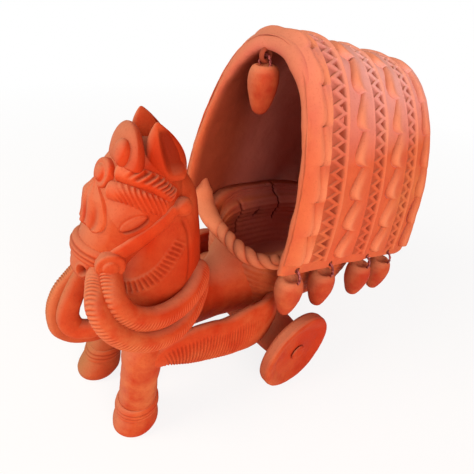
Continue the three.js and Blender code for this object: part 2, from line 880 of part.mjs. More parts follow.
const headCut = head(LUTE);
const tubCut = tubSolid(LUTE);
const bodyCut = barrel(LUTE).add(neck(LUTE));
add("horse_body", cut(barrel(0).add(neck(0)), headCut, tubCut), HORSE);
add("horse_head", head(0), HORSE);

const bossCuts = [muzzleBoss(1, LUTE), muzzleBoss(-1, LUTE)];
const crestCut = crest(LUTE);
const foreheadCut = foreheadBoss(LUTE);
add("forehead_boss", cut(foreheadBoss(0), headCut), HARNESS);
add("forelock_crest", cut(crest(0), headCut, foreheadCut), HORSE);
const upperCuts = sides.map(([, side]) => browRope(side, UPPER_BROW, LUTE));
add("crest_boss", cut(crestBoss(), crestCut, headCut, foreheadCut, ...upperCuts), HARNESS);

const lowerCuts = sides.map(([, side]) => browRope(side, LOWER_BROW, LUTE));
add("nose_plate", cut(nosePlate(), headCut, foreheadCut, ...lowerCuts), HARNESS);
add("noseband", cut(noseBand(), headCut, ...bossCuts), HARNESS);
for (const [name, side] of sides) {
  const hosts = [headCut, foreheadCut, earKnob(side, LUTE)];
  const upper = cut(browRope(side, UPPER_BROW, 0), crestCut, bodyCut, ...hosts);
  add(`brow_rope_upper_${name}`, upper, HARNESS);
  add(`brow_rope_lower_${name}`, cut(browRope(side, LOWER_BROW, 0), ...upperCuts, ...hosts), HARNESS);
  add(`muzzle_boss_${name}`, cut(muzzleBoss(side, 0), headCut), HARNESS);
  add(`cheek_strap_${name}`, cut(cheekStrap(side), headCut, bodyCut, ...bossCuts, ...lowerCuts), HARNESS);
  add(`ear_${name}`, cut(ear(side), headCut, crestCut, bodyCut, ...upperCuts), HORSE);
}

for (const [name] of sides) {
  add(`front_leg_${name}`, cut(leg(name, 0), bodyCut), HORSE);
  add(`ankle_band_${name}`, ankleBand(name), HARNESS);
  const hosts = [headCut, bodyCut, leg(name, LUTE), ...bossCuts];
  const innerCut = rein(`inner_${name}`, LUTE);
  add(`rein_inner_${name}`, cut(rein(`inner_${name}`, 0), ...hosts), HARNESS);
  add(`rein_outer_${name}`, cut(rein(`outer_${name}`, 0), ...hosts, innerCut), HARNESS);
}

add("cart_tub", cut(tub(), canopyShell(LUTE)), TUB);
add("tub_rim_rope", cut(lipRope(), tubCut), CANOPY);
const shaftCuts = [shaft(1, LUTE), shaft(-1, LUTE)];
add("axle_beam", cut(axleBeam(), tubCut, bodyCut, ...shaftCuts), TUB);
for (const [name, side] of sides) {
  add(`shaft_${name}`, cut(shaft(side, 0), leg(name, LUTE), bodyCut, tubCut), HARNESS);
  const disc = mesh(`wheel_${name}`, wheel(), WHEEL);
  disc.position.set(side * (WHEEL_OUT - WHEEL_WIDE / 2), WHEEL_Y, WHEEL_R);
  const cap = mesh(`axle_cap_${name}`, axleCap(), WHEEL);
  cap.position.set(side * (WHEEL_OUT - WHEEL_DISH + RUN + LUTE), WHEEL_Y, WHEEL_R);
  cap.rotation.z = side > 0 ? 0 : Math.PI;
  cart.add(disc, cap);
}

const hangers = [["bell_front", crownHole, FRONT_LOOP_R, FRONT_BELL_TALL]];
for (const [name, side] of sides) {
  BELL_SHARES[name].forEach((s, i) => {
    hangers.push([`bell_${name}_${i + 1}`, hemHole(s, side), LOOP_R, BELL_TALL]);
  });
}
for (const [name, hole, radius, tall] of hangers) {
  const hanger = new THREE.Group();
  hanger.position.copy(hole);
  hanger.add(mesh(name, bell(radius, tall), BELL));
  hanger.add(mesh(`${name}_loop`, loop(radius, 0), WIRE, 0.6));
  cart.add(hanger);
}

const drills = hangers.map(([, hole]) => piercing(hole));
add("canopy_shell", cut(canopyShell(0).add(crownLug()), ...drills), CANOPY);
add("canopy_back_panel", cut(backPanel(), tubCut), CANOPY);
add("canopy_trim_front", trim(TRIM_SETBACK, FRONT_TRIM, true), CANOPY);
let bandFront = TRIM_SETBACK + FRONT_TRIM + LUTE;
const bandRoom = CANOPY_LONG - bandFront - LAST_GAP - REAR_TRIM;
const bandGap = (bandRoom - BAND_WIDTHS.reduce((sum, wide) => sum + wide, 0)) / (BAND_WIDTHS.length - 1);
BAND_WIDTHS.forEach((wide, i) => {
  const deep = i ? SCALLOP_DEEP : -TRIM_WAVE;
  add(`canopy_band_${i + 1}`, stampedBand(bandFront, wide, deep), CANOPY);
  bandFront += wide + bandGap;
});
add("canopy_trim_rear", trim(CANOPY_LONG - REAR_TRIM, REAR_TRIM, false), CANOPY);

// Stands the ornament on the ground, centred over the origin
const box = new THREE.Box3().setFromObject(cart);
const middle = box.getCenter(v3(0, 0, 0));
cart.position.set(-middle.x, -middle.y, -box.min.z);

export default cart;
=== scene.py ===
"""Clay surfaces, pressed ornament, finishes and studio of a terracotta horse cart ornament.

Shapes are worked out in millimetres, with the horse facing -Y, and put into the frame in metres.
"""

import bpy
import numpy as np
from mathutils import Matrix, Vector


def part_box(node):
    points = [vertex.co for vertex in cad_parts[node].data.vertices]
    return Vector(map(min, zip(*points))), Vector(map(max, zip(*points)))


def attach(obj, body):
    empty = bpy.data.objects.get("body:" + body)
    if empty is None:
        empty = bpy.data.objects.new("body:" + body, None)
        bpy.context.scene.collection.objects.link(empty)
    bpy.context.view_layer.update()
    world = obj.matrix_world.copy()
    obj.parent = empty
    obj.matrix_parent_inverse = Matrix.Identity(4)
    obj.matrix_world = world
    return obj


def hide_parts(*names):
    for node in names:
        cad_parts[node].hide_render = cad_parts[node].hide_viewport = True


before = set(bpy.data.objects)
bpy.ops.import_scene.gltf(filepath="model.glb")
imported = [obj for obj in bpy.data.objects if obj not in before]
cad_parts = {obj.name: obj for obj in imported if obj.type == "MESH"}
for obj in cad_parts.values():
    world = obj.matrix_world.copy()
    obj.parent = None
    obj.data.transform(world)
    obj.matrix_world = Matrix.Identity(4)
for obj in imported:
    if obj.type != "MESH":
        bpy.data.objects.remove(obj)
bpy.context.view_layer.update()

bl_info = {
    "name": "Terracotta horse cart",
    "version": (1, 0, 0),
    "blender": (4, 5, 0),
    "location": "View3D > Sidebar > Horse cart",
    "description": "Clay surfaces, pressed ornament, finishes and studio of the horse cart",
    "category": "Object",
}

MM = 0.001
ASIDE, ALONG, UP = np.eye(3)  # to the horse's left, backwards and up
SIDES = (("left", 1), ("right", -1))
WHEEL_Y = 11.3
WHEEL_R = 30.3

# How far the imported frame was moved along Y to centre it, read from the wheel's place.
SHIFT = np.array([0.0, sum(c.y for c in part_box("wheel_left")) / 2 / MM - WHEEL_Y, 0.0])


# Settings


def colour(title, words, value):
    """A setting that holds a colour."""
    return bpy.props.FloatVectorProperty(
        name=title, description=words, subtype="COLOR", size=3, min=0, max=1, default=value)


class ClayColours(bpy.types.PropertyGroup):
    """Fired colours of the clay and of the wire"""

    horse: colour("Horse", "Red clay of the horse", (0.480, 0.030, 0.003))
    harness: colour("Harness", "Ropes, straps and bosses", (0.545, 0.036, 0.004))
    tub: colour("Tub", "Thrown tub and axle", (0.480, 0.052, 0.013))
    wheel: colour("Wheels", "Disc wheels and caps", (0.470, 0.034, 0.007))
    canopy: colour("Canopy", "Arched canopy and its strips", (0.610, 0.097, 0.035))
    bell: colour("Bells", "Hanging clay bells", (0.450, 0.037, 0.012))
    wire: colour("Wire", "Loops that carry the bells", (0.130, 0.014, 0.012))
    # Also the base of the painted tan light and of the painted highlight on raised marks.
    warm: colour("Warm bloom", "Orange where the fire was open", (0.640, 0.180, 0.060))
    floor: colour("Floor", "Pale studio floor", (0.900, 0.890, 0.875))


class OrnamentSizes(bpy.types.PropertyGroup):
    """Sizes of the pressed and stamped ornament, in millimetres"""

    tick_depth: bpy.props.FloatProperty(
        name="Tick depth", description="Depth of the strokes pressed into ropes",
        default=0.75, min=0, max=2)
    zigzags: bpy.props.IntProperty(
        name="Zigzags", description="Zigzags stamped along each band", default=40, min=10, max=90)
    stamp_depth: bpy.props.FloatProperty(
        name="Stamp depth", description="Depth of the stamped zigzag", default=1.6, min=0, max=2)
    scallops: bpy.props.IntProperty(
        name="Scallops", description="Thumb presses along a strip", default=14, min=6, max=40)
    wobble: bpy.props.FloatProperty(
        name="Hand wobble", description="Unevenness left by the hand", default=0.45, min=0, max=2)
    ring_depth: bpy.props.FloatProperty(
        name="Throwing rings", description="Depth of the rings left by throwing",
        default=0.35, min=0, max=1)
    twists: bpy.props.IntProperty(
        name="Wire twists", description="Twists round each wire loop", default=13, min=3, max=40)


class StudioLight(bpy.types.PropertyGroup):
    """Lamps and sky of the studio"""

    key: bpy.props.FloatProperty(
        name="Key", description="Large lamp above the horse", default=7.5, min=0, unit="POWER")
    fill: bpy.props.FloatProperty(
        name="Fill", description="Soft lamp by the camera", default=12.5, min=0, unit="POWER")
    mouth: bpy.props.FloatProperty(
        name="Mouth lamp", description="Lamp that looks into the canopy", default=3, min=0, unit="POWER")
    sky: bpy.props.FloatProperty(
        name="Sky", description="Even light from all round", default=0.34, min=0, max=2)


# Curves and surfaces


def unit(v):
    """Vectors scaled to length one."""
    return v / np.maximum(np.linalg.norm(v, axis=-1, keepdims=True), 1e-9)


def ramp(x, low, high):
    """Smooth step from 0 at low to 1 at high."""
    t = np.clip((x - low) / (high - low), 0, 1)
    return t * t * (3 - 2 * t)


def hump(x, width):
    """Bell curve of the given half width."""
    return np.exp(-((x / width) ** 2))


def curve_through(rows, at):
    """Cubic curve through rows whose first number is the station, with slopes from the rows beside."""
    rows = np.asarray(rows, float)
    x, y = rows[:, 0], rows[:, 1:]
    slope = np.gradient(y, x, axis=0)
    i = np.clip(np.searchsorted(x, at) - 1, 0, len(x) - 2)
    h = (x[i + 1] - x[i])[..., None]
    t = (np.asarray(at) - x[i])[..., None] / h
    rise = t * t * (3 - 2 * t)
    bend = h * t * (1 - t) * ((1 - t) * slope[i] - t * slope[i + 1])
    return (1 - rise) * y[i] + rise * y[i + 1] + bend


def walked(points, power=1):
    """Way walked to each point: the lengths of the steps, each raised to a power, added up."""
    steps = np.linalg.norm(np.diff(points, axis=0), axis=1) ** power
    return np.concatenate([[0], np.cumsum(steps)])


def path_through(points, count):
    """Evenly spaced points on a smooth curve through the given points."""
    p = np.asarray(points, float)
    run = walked(p, 0.5)
    fine = curve_through(np.column_stack([run, p]), np.linspace(0, run[-1], 1500))
    walk = walked(fine)
    even = np.linspace(0, walk[-1], count)
    return np.stack([np.interp(even, walk, fine[:, k]) for k in range(3)], -1)


def lattice(p, size, seed):
    """Smooth noise from -1 to 1: random heights on a cubic lattice of the given spacing, blended."""
    q = p / size + 91.7 * seed
    cell = np.floor(q).astype(np.int64)
    f = q - cell
    f = f * f * (3 - 2 * f)

    def height(dx, dy, dz):
        x, y, z = cell[..., 0] + dx, cell[..., 1] + dy, cell[..., 2] + dz
        n = x * 374761393 + y * 668265263 + z * 974634777
        n = (n ^ (n >> 13)) * 1274126177
        return ((n ^ (n >> 16)) & 65535) / 32767.5 - 1

    def along(dy, dz):
        return height(0, dy, dz) * (1 - f[..., 0]) + height(1, dy, dz) * f[..., 0]

    def flat(dz):
        return along(0, dz) * (1 - f[..., 1]) + along(1, dz) * f[..., 1]

    return flat(0) * (1 - f[..., 2]) + flat(1) * f[..., 2]


def hand(p, amount, seed):
    """Unevenness of hand work: broad swells, finger dents and fine drag, each weaker than the last."""
    swells, dents, drag = lattice(p, 21, seed), lattice(p, 8, seed + 1), lattice(p, 3, seed + 2)
    return amount * (swells + 0.55 * dents + 0.2 * drag)


def circle(sides):
    """Angles of a full turn in even steps."""
    return np.linspace(0, 2 * np.pi, sides, endpoint=False)


def grid_faces(count, sides, wrap):
    """Four corners of each cell of a grid that closes round its second axis, and its first if asked."""
    index = np.arange(count * sides).reshape(count, sides)
    rows = np.vstack([index, index[:1]]) if wrap else index
    beside = np.roll(rows, -1, axis=1)
    return np.stack([rows[:-1], rows[1:], beside[1:], beside[:-1]], -1).reshape(-1, 4)


def swept_volume(p, wrap):
    """Six times the signed volume inside a grid, open ends taken as closed to their middles."""
    faces = p.reshape(-1, 3)[grid_faces(*p.shape[:2], wrap)]
    a, b, c, d = (faces[:, k] for k in range(4))
    total = np.sum(a * np.cross(b, c)) + np.sum(a * np.cross(c, d))
    if not wrap:
        for ring, sign in ((p[0], 1), (p[-1], -1)):
            total += sign * np.sum(ring.mean(0) * np.cross(ring, np.roll(ring, -1, axis=0)))
    return total


def outward(p, wrap=False):
    """Unit normals of a closed grid: cross product of its steps along and round, turned to point out."""
    round_step = np.roll(p, -1, axis=1) - np.roll(p, 1, axis=1)
    step = np.roll(p, -1, axis=0) - np.roll(p, 1, axis=0) if wrap else np.gradient(p, axis=0)
    return unit(np.cross(step, round_step)) * np.sign(swept_volume(p, wrap))


def push(p, amount, wrap=False):
    """A grid moved along its normals."""
    return p + outward(p, wrap) * amount[..., None]


def sweep(path, out, half_out, half_side, sides):
    """Section carried along a path: each ring is the path point plus the cosine of the angle times the
    half thickness outwards and the sine times the half width beside. Returns the grid, the share along
    and the angle round."""
    tangent = unit(np.gradient(path, axis=0))
    out = np.broadcast_to(np.asarray(out, float), path.shape)
    across = unit(out - np.sum(out * tangent, -1, keepdims=True) * tangent)
    beside = np.cross(tangent, across)
    angle = circle(sides)
    wide = np.broadcast_to(half_out, len(path))[:, None, None] * np.cos(angle)[:, None]
    tall = np.broadcast_to(half_side, len(path))[:, None, None] * np.sin(angle)[:, None]
    grid = path[:, None] + wide * across[:, None] + tall * beside[:, None]
    along, around = np.meshgrid(np.linspace(0, 1, len(path)), angle, indexing="ij")
    return grid, along, around


def rounded_end(count, share):
    """Size along a roll that swells from nothing to full over a share of its length at each end."""
    t = np.linspace(0, 1, count)
    near = np.clip(np.minimum(t, 1 - t) / share, 0, 1)
    return np.sqrt(np.maximum(1 - (1 - near) ** 2, 1e-4))


def lathe(profile, sides, count):
    """Profile of [radius, height] points, its corners softened, turned about the height axis, +Z."""
    p = np.asarray(profile, float)
    run = walked(p)
    r, h = (np.interp(np.linspace(0, run[-1], count), run, p[:, k]) for k in (0, 1))
    for _ in range(3):
        r[1:-1] = (r[:-2] + 2 * r[1:-1] + r[2:]) / 4
        h[1:-1] = (h[:-2] + 2 * h[1:-1] + h[2:]) / 4
    r = np.maximum(r, 0.02)
    angle = circle(sides)
    ring = np.stack([np.cos(angle), np.sin(angle), np.zeros(sides)], -1)
    return r[:, None, None] * ring + h[:, None, None] * UP


def stand(grid, at, axis):
    """A grid whose axis is +Z, stood along another axis at a point."""
    w = unit(np.asarray(axis, float))
    u = unit(np.cross([0.31, 0.12, 0.94], w))
    return np.asarray(at) + grid[..., :1] * u + grid[..., 1:2] * np.cross(w, u) + grid[..., 2:] * w


def strokes(phase, sharp):
    """Row of pressed strokes: a wave that is 1 in the middle of each stroke and 0 between."""
    return (0.5 + 0.5 * np.cos(2 * np.pi * phase)) ** sharp


# Pieces


def surface(p, press=None, wrap=False):
    """Vertices, loops, face starts and painted light, from -1 for painted shade to 1 for painted highlight,
    of a closed grid that faces out. Ends that stay open are closed by fans to their middles."""
    count, sides = p.shape[:2]
    quads = grid_faces(count, sides, wrap)
    verts = p.reshape(-1, 3)
    press = np.zeros(len(verts)) if press is None else np.clip(press, -1, 1).reshape(-1)
    fans = np.zeros((0, 3), int)
    if not wrap:
        ring = np.arange(sides)
        beside = np.roll(ring, -1)
        last = (count - 1) * sides
        first_fan = np.stack([np.full(sides, len(verts)), ring, beside], -1)
        last_fan = np.stack([np.full(sides, len(verts) + 1), last + beside, last + ring], -1)
        fans = np.vstack([first_fan, last_fan])
        verts = np.vstack([verts, p[0].mean(0), p[-1].mean(0)])
        press = np.append(press, [0, 0])
    if swept_volume(p, wrap) < 0:
        quads, fans = quads[:, ::-1], fans[:, ::-1]
    loops = np.concatenate([quads.reshape(-1), fans.reshape(-1)])
    starts = np.concatenate([np.arange(len(quads)) * 4, len(quads) * 4 + np.arange(len(fans)) * 3])
    return verts, loops, starts, press


def join(*parts):
    """Several surfaces as one list of vertices, loops, face starts and painted light."""
    offset = np.cumsum([0] + [len(part[0]) for part in parts])
    corner = np.cumsum([0] + [len(part[1]) for part in parts])
    return (np.vstack([part[0] for part in parts]),
            np.concatenate([part[1] + n for part, n in zip(parts, offset)]),
            np.concatenate([part[2] + n for part, n in zip(parts, corner)]),
            np.concatenate([part[3] for part in parts]))


def clay_mesh(name, part):
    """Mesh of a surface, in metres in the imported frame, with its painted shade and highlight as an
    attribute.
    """
    verts, loops, starts, press = part
    mesh = bpy.data.meshes.new(name)
    mesh.vertices.add(len(verts))
    mesh.vertices.foreach_set("co", ((verts + SHIFT) * MM).astype(np.float32).reshape(-1))
    mesh.loops.add(len(loops))
    mesh.loops.foreach_set("vertex_index", loops.astype(np.int32))
    mesh.polygons.add(len(starts))
    mesh.polygons.foreach_set("loop_start", starts.astype(np.int32))
    mesh.update(calc_edges=True)
    mesh.polygons.foreach_set("use_smooth", np.ones(len(starts), bool))
    mesh.attributes.new("press", "FLOAT", "POINT").data.foreach_set("value", press.astype(np.float32))
    if mesh.validate():
        raise RuntimeError(f"{name}: the surface has faulty faces")
    return mesh


def fused(parts, voxel, rounds):
    """Overlapping closed surfaces as one skin: a voxel remesh in millimetres, then rounds of smoothing
    that soften the joins as a wet finger does. Returns vertices, loops, face starts and normals."""
    mesh = clay_mesh("fusing", join(*parts))
    made = bpy.data.objects.new("fusing", mesh)
    bpy.context.collection.objects.link(made)
    remesh = made.modifiers.new("skin", "REMESH")
    remesh.mode = "VOXEL"
    remesh.voxel_size = voxel * MM
    smooth = made.modifiers.new("finger", "SMOOTH")
    smooth.factor = 0.5
    smooth.iterations = rounds
    skin = made.evaluated_get(bpy.context.evaluated_depsgraph_get()).to_mesh()

    def read(items, key, kind, width):
        values = np.zeros(len(items) * width, kind)
        items.foreach_get(key, values)
        return values

    verts = read(skin.vertices, "co", np.float32, 3).reshape(-1, 3).astype(float) / MM - SHIFT
    normals = read(skin.vertex_normals, "vector", np.float32, 3).reshape(-1, 3).astype(float)
    loops = read(skin.loops, "vertex_index", np.int32, 1).astype(int)
    starts = read(skin.polygons, "loop_start", np.int32, 1).astype(int)
    bpy.data.objects.remove(made)
    bpy.data.meshes.remove(mesh)
    return verts, loops, starts, normals


def place(node, part, slot, body="cart", name=None):
    """Puts a surface into the scene: it stands for its node, rides on its body and takes its slot's finish.
    It is named for the node and its clay, unless a name is given."""
    name = name or f"{node}_clay"
    piece = bpy.data.objects.new(name, clay_mesh(name, part))
    bpy.context.collection.objects.link(piece)
    piece.data.materials.append(bpy.data.materials[slot.replace("_", " ")])
    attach(piece, body)
    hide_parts(node)
    return piece


def along_path(verts, path):
    """Nearest place on a path for each point beside it: distance, and share of the way along."""
    reach = 12
    dist = np.full(len(verts), np.inf)
    share = np.zeros(len(verts))
    low, high = path.min(0) - reach, path.max(0) + reach
    near = np.all((verts > low) & (verts < high), axis=1)
    gaps = np.linalg.norm(verts[near][:, None] - path[None], axis=-1)
    dist[near] = gaps.min(1)
    share[near] = gaps.argmin(1) / (len(path) - 1)
    return dist, share


# Finishes


def blank(block):
    """Empty node tree of a new material or world."""
    block.use_nodes = True
    block.node_tree.nodes.clear()
    return block.node_tree


def feed(tree, socket, value):
    """Links an input to another node's output, or sets its value."""
    if isinstance(value, bpy.types.NodeSocket):
        tree.links.new(value, socket)
    else:
        socket.default_value = value


def linked(tree, kind, places=None, **values):
    """A shader node with its values set and its inputs fed."""
    node = tree.nodes.new("ShaderNode" + kind)
    for key, value in values.items():
        setattr(node, key, value)
    for key, value in (places or {}).items():
        feed(tree, node.inputs[key], value)
    return node


def product(tree, a, b):
    """Two values multiplied."""
    return linked(tree, "Math", {0: a, 1: b}, operation="MULTIPLY").outputs[0]


def agreement(tree, a, b):
    """Dot product of two directions."""
    return linked(tree, "VectorMath", {0: a, 1: b}, operation="DOT_PRODUCT").outputs["Value"]


def speckle(tree, coords, scale, detail, rough=0.55):
    """Noise on Object coordinates."""
    places = {"Vector": coords, "Scale": scale, "Detail": detail, "Roughness": rough}
    return linked(tree, "TexNoise", places).outputs["Fac"]


def span(tree, value, low, high, to_low=0, to_high=1):
    """A value carried from one range to another, and held at its ends."""
    places = {"Value": value, "From Min": low, "From Max": high, "To Min": to_low, "To Max": to_high}
    return linked(tree, "MapRange", places).outputs["Result"]


def mixed(tree, share, a, b):
    """Two colours mixed by a share."""
    node = linked(tree, "Mix", {"Factor": share}, data_type="RGBA")
    for key, value in (("A", a), ("B", b)):
        socket = next(s for s in node.inputs if s.name == key and s.type == "RGBA")
        feed(tree, socket, value if isinstance(value, bpy.types.NodeSocket) else (*value, 1.0))
    return next(s for s in node.outputs if s.type == "RGBA")


def tinted(base, gain, pale=0.0):
    """A colour made lighter or darker by a gain, and mixed with pale grey by a share."""
    return tuple(min(1.0, c * gain * (1 - pale) + 0.8 * pale) for c in base)


PAINTED_LIGHT_FROM = (-0.52, -0.40, 0.75)  # direction from which a painted light makes faces tan and paler: up, forward and to the right
CANOPY_AXIS = (0, 0, -0.09)  # moves the line that runs through the canopy to the origin
# Painted highlight: pale pink laid over the top of the canopy.
PAINTED_CROWN_HIGHLIGHT = (0.95, 0.62, 0.60)
# Painted warm light: the tan-brown laid over the horse's right side.
FAR_SIDE_PAINTED_TONE = (0.37, 0.16, 0.06)
# Painted shade: the dull colour of the faces inside the tub and canopy, and the darker one where the marks'
# painted shade is deepest.
PAINTED_INSIDE_SHADE = (0.62, 0.23, 0.19)
PAINTED_SLIT_SHADE = (0.10, 0.02, 0.02)


def clay_finish(name, base_clay, warm, sheen, crown_highlight, painted_inside_shade, painted_far_side):
    """Unglazed fired clay: broad bloom from the fire, finger-wide mottling, grit, painted shade in pressed
    marks, painted highlight on raised marks, and drag marks and grit in relief. A painted pale pink highlight
    lies towards the crown by the share given for each finish, painted tan light falls on the faces turned up,
    forward and to the right, painted shade dulls the faces that look in to the canopy's axis, and painted
    warm light tints the right side brown."""
    finish = bpy.data.materials.new(name)
    tree = blank(finish)
    texture = linked(tree, "TexCoord")
    coords, normal = texture.outputs["Object"], texture.outputs["Normal"]
    x, y, z = linked(tree, "SeparateXYZ", {0: coords}).outputs
    press = linked(tree, "Attribute", attribute_name="press").outputs["Fac"]

    bloom = span(tree, speckle(tree, coords, 11, 3), 0.38, 0.66)
    mottle = span(tree, speckle(tree, coords, 75, 5, 0.6), 0.3, 0.7)
    base = mixed(tree, bloom, base_clay, tinted(warm, 0.9))
    base = mixed(tree, mottle, tinted(base_clay, 0.86), base)

    # Painted highlight: pale pink towards the top of the canopy, stronger towards its rear, by the share
    # given for each finish.
    crown = product(tree, span(tree, z, 0.16, 0.225, 0, crown_highlight), span(tree, y, 0.0, 0.07, 0.1))
    base = mixed(tree, crown, base, PAINTED_CROWN_HIGHLIGHT)
    # Painted light: faces turned up, forward and to the right are made tan and paler.
    fired = span(tree, agreement(tree, normal, PAINTED_LIGHT_FROM), 0.05, 0.9, 0, 0.85)
    base = mixed(tree, fired, base, tinted(warm, 0.78, 0.07))
    # Painted warm light: the horse's right side is tinted tan-brown by the share given for each finish.
    base = mixed(tree, span(tree, x, -0.008, -0.028, 0, painted_far_side), base, FAR_SIDE_PAINTED_TONE)
    # Painted highlight on raised marks and painted shade in pressed ones, read from the mark attribute.
    base = mixed(tree, span(tree, press, 0, 1), base, tinted(warm, 1.15, 0.06))
    base = mixed(tree, span(tree, press, 0, -1), base, tinted(base_clay, 0.42))

    # Painted shade: faces inside the tub and canopy, which look in to the canopy's axis, take a dull shaded
    # colour, darkest where the marks' painted shade is deepest.
    flat = {0: coords, 1: (1, 0, 1), 2: CANOPY_AXIS}
    from_axis = linked(tree, "VectorMath", flat, operation="MULTIPLY_ADD").outputs[0]
    looks_in = span(tree, agreement(tree, from_axis, normal), -0.004, -0.02, 0, painted_inside_shade)
    inside = product(tree, looks_in, span(tree, y, 0.008, 0.07))
    base = mixed(tree, inside, base, mixed(tree, span(tree, press, -0.5, -0.8), PAINTED_INSIDE_SHADE, PAINTED_SLIT_SHADE))

    grit = span(tree, speckle(tree, coords, 900, 2, 0.7), 0.56, 0.74)
    base = mixed(tree, product(tree, grit, 0.28), base, tinted(base_clay, 0.55))

    drag = {"Height": speckle(tree, coords, 170, 4, 0.6), "Strength": 0.35, "Distance": 0.0011}
    drag = linked(tree, "Bump", drag).outputs[0]
    fine = {"Height": speckle(tree, coords, 1100, 3, 0.65), "Strength": 0.30, "Distance": 0.00035}
    relief = linked(tree, "Bump", {**fine, "Normal": drag}).outputs[0]
    rough = span(tree, mottle, 0, 1, 0.68, 0.86)
    look = {"Base Color": base, "Roughness": rough, "Normal": relief, "Specular IOR Level": sheen}
    linked(tree, "OutputMaterial", {"Surface": linked(tree, "BsdfPrincipled", look).outputs[0]})


def wire_finish(name, metal):
    """Copper-red wire dulled by fire: a soft metal, sooty and rougher between bare patches."""
    finish = bpy.data.materials.new(name)
    tree = blank(finish)
    coords = linked(tree, "TexCoord").outputs["Object"]
    bare = span(tree, speckle(tree, coords, 420, 3), 0.35, 0.65)
    base = mixed(tree, bare, metal, tinted(metal, 2.6, 0.05))
    rough = span(tree, bare, 0, 1, 0.5, 0.3)
    look = {"Base Color": base, "Roughness": rough, "Metallic": 0.55}
    linked(tree, "OutputMaterial", {"Surface": linked(tree, "BsdfPrincipled", look).outputs[0]})


# Horse

BARREL = [  # along, half width, half height, middle height
    [2, 34, 31.5, 67.5], [-4, 29, 28.5, 64], [-12, 22.5, 25, 59.5], [-22, 19, 22, 58.3],
    [-36, 20, 20.5, 61.5], [-50, 22.5, 21.5, 66.5], [-74, 25, 25, 73], [-90, 21, 21, 76],
    [-98, 13, 13, 77], [-101, 5, 5, 78]]
NECK = [  # height, middle, half depth, half width
    [56, -66, 24, 18], [63, -65.5, 29, 21.5], [74, -65, 32.5, 24.5], [92, -66.5, 31.5, 25],
    [111, -62.7, 26.8, 23], [132, -59.7, 22.3, 20], [152, -59.3, 18.7, 16.5], [166, -62, 12, 12]]
COLLAR = [  # row of ribs round the neck
    [19.6, -56.5, 131], [20.7, -60.2, 126.6], [20.9, -64.1, 121.7], [21.1, -68.5, 116.2],
    [20.7, -73.2, 111.8], [19, -77.7, 108.5], [17.4, -81.6, 106.4], [14.1, -85.9, 104.6],
    [9, -90, 103.4], [3, -93, 103]]
MANE = [  # crease behind the collar
    [18.3, -57.6, 143], [18.7, -54.1, 132.8], [19.9, -53.5, 123.4], [21.2, -53.5, 113.8],
    [22.4, -54.7, 104.2], [23.2, -56.5, 98.1]]
HEAD = [  # share of the face line, half width, half depth, middle behind the face line
    [-0.3, 5, 5, 20], [-0.24, 11, 11, 20], [-0.12, 16.5, 17, 20.5], [0.05, 19.5, 22, 22],
    [0.27, 21, 23, 23], [0.5, 19.5, 18.8, 20.4], [0.75, 16.5, 15.5, 15.5], [0.95, 15.5, 13, 13],
    [1.06, 13, 10.5, 12], [1.13, 6, 5, 11]]
POLL, CHIN = HEAD[0][0], HEAD[-1][0]
FACE_TOP = np.array([0, -86.5, 169])
FACE_LINE = np.array([0, -108.5, 117]) - FACE_TOP
FACE_OUT = unit(np.array([0, FACE_LINE[2], -FACE_LINE[1]]))
FACE_LONG = np.linalg.norm(FACE_LINE)
HEAD_PIVOT = np.array([0, -68.0, 0])
HEAD_TURN = np.array(Matrix.Rotation(np.radians(-10), 3, "Z"))
CREST_LEAN = np.array(Matrix.Rotation(np.radians(-12), 3, "X"))
EYE = (0.33, 72.5)  # share of the face line and bearing of the eye's middle
EYE_HALF = 6.9
EYE_SLANT = (0.823, 0.568)  # cosine and sine of the way the eye runs up the head
EYE_DEGREE = 0.37  # millimetres round the head for each degree, at the eye
NOSTRIL = (0.955, 42)
NOSTRIL_DEGREE = 0.27
LIPS = 1.045
LEG = [  # height, radius
    [0, 12.2], [0.8, 13.4], [2.5, 14.2], [9, 13.8], [15, 12.2], [30, 11.4], [48, 11], [62, 11.2],
    [72, 11.2], [79, 8.5], [84, 4]]
LEG_TOP = LEG[-1][0]
FEET = {"left": (24, -96), "right": (-28, -99.5)}
LEG_HEADS = {"left": (29.5, -86), "right": (-22, -70)}
BOSS = [  # share of the radius, height
    [0, -5], [1, -5], [1, 0.2], [0.96, 1.0], [0.86, 1.5], [0.72, 1.55], [0.62, 1.4], [0.55, 1.7],
    [0.46, 2.6], [0.3, 3.2], [0, 3.4]]


def turn_head(p):
    """Points turned with the head, which looks a little to its right."""
    return (p - HEAD_PIVOT) @ HEAD_TURN.T + HEAD_PIVOT


def head_point(t, bearing, lift=0.0):
    """Point on the head: t runs from poll to muzzle, bearing is in degrees from the face to its left. The
    section is an ellipse whose half axes follow the HEAD rows."""
    t, bearing, lift = np.broadcast_arrays(np.asarray(t, float), np.radians(bearing), lift)
    form = curve_through(HEAD, np.clip(t, POLL, CHIN))
    middle = FACE_TOP + t[..., None] * FACE_LINE - form[..., 2:] * FACE_OUT
    aside = ((form[..., 0] + lift) * np.sin(bearing))[..., None] * ASIDE
    ahead = ((form[..., 1] + lift) * np.cos(bearing))[..., None] * FACE_OUT
    return turn_head(middle + aside + ahead)


def head_out(t, bearing):
    """Direction straight out of the head."""
    return unit(head_point(t, bearing, 1.0) - head_point(t, bearing, 0.0))


def on_head(stops, count, sink):
    """Path pressed onto the head through [t, bearing] stops, and its outward directions."""
    stops = np.asarray(stops, float)
    rows = np.column_stack([np.linspace(0, 1, len(stops)), stops])
    t, bearing = curve_through(rows, np.linspace(0, 1, count)).T
    return head_point(t, bearing, -sink), head_out(t, bearing)


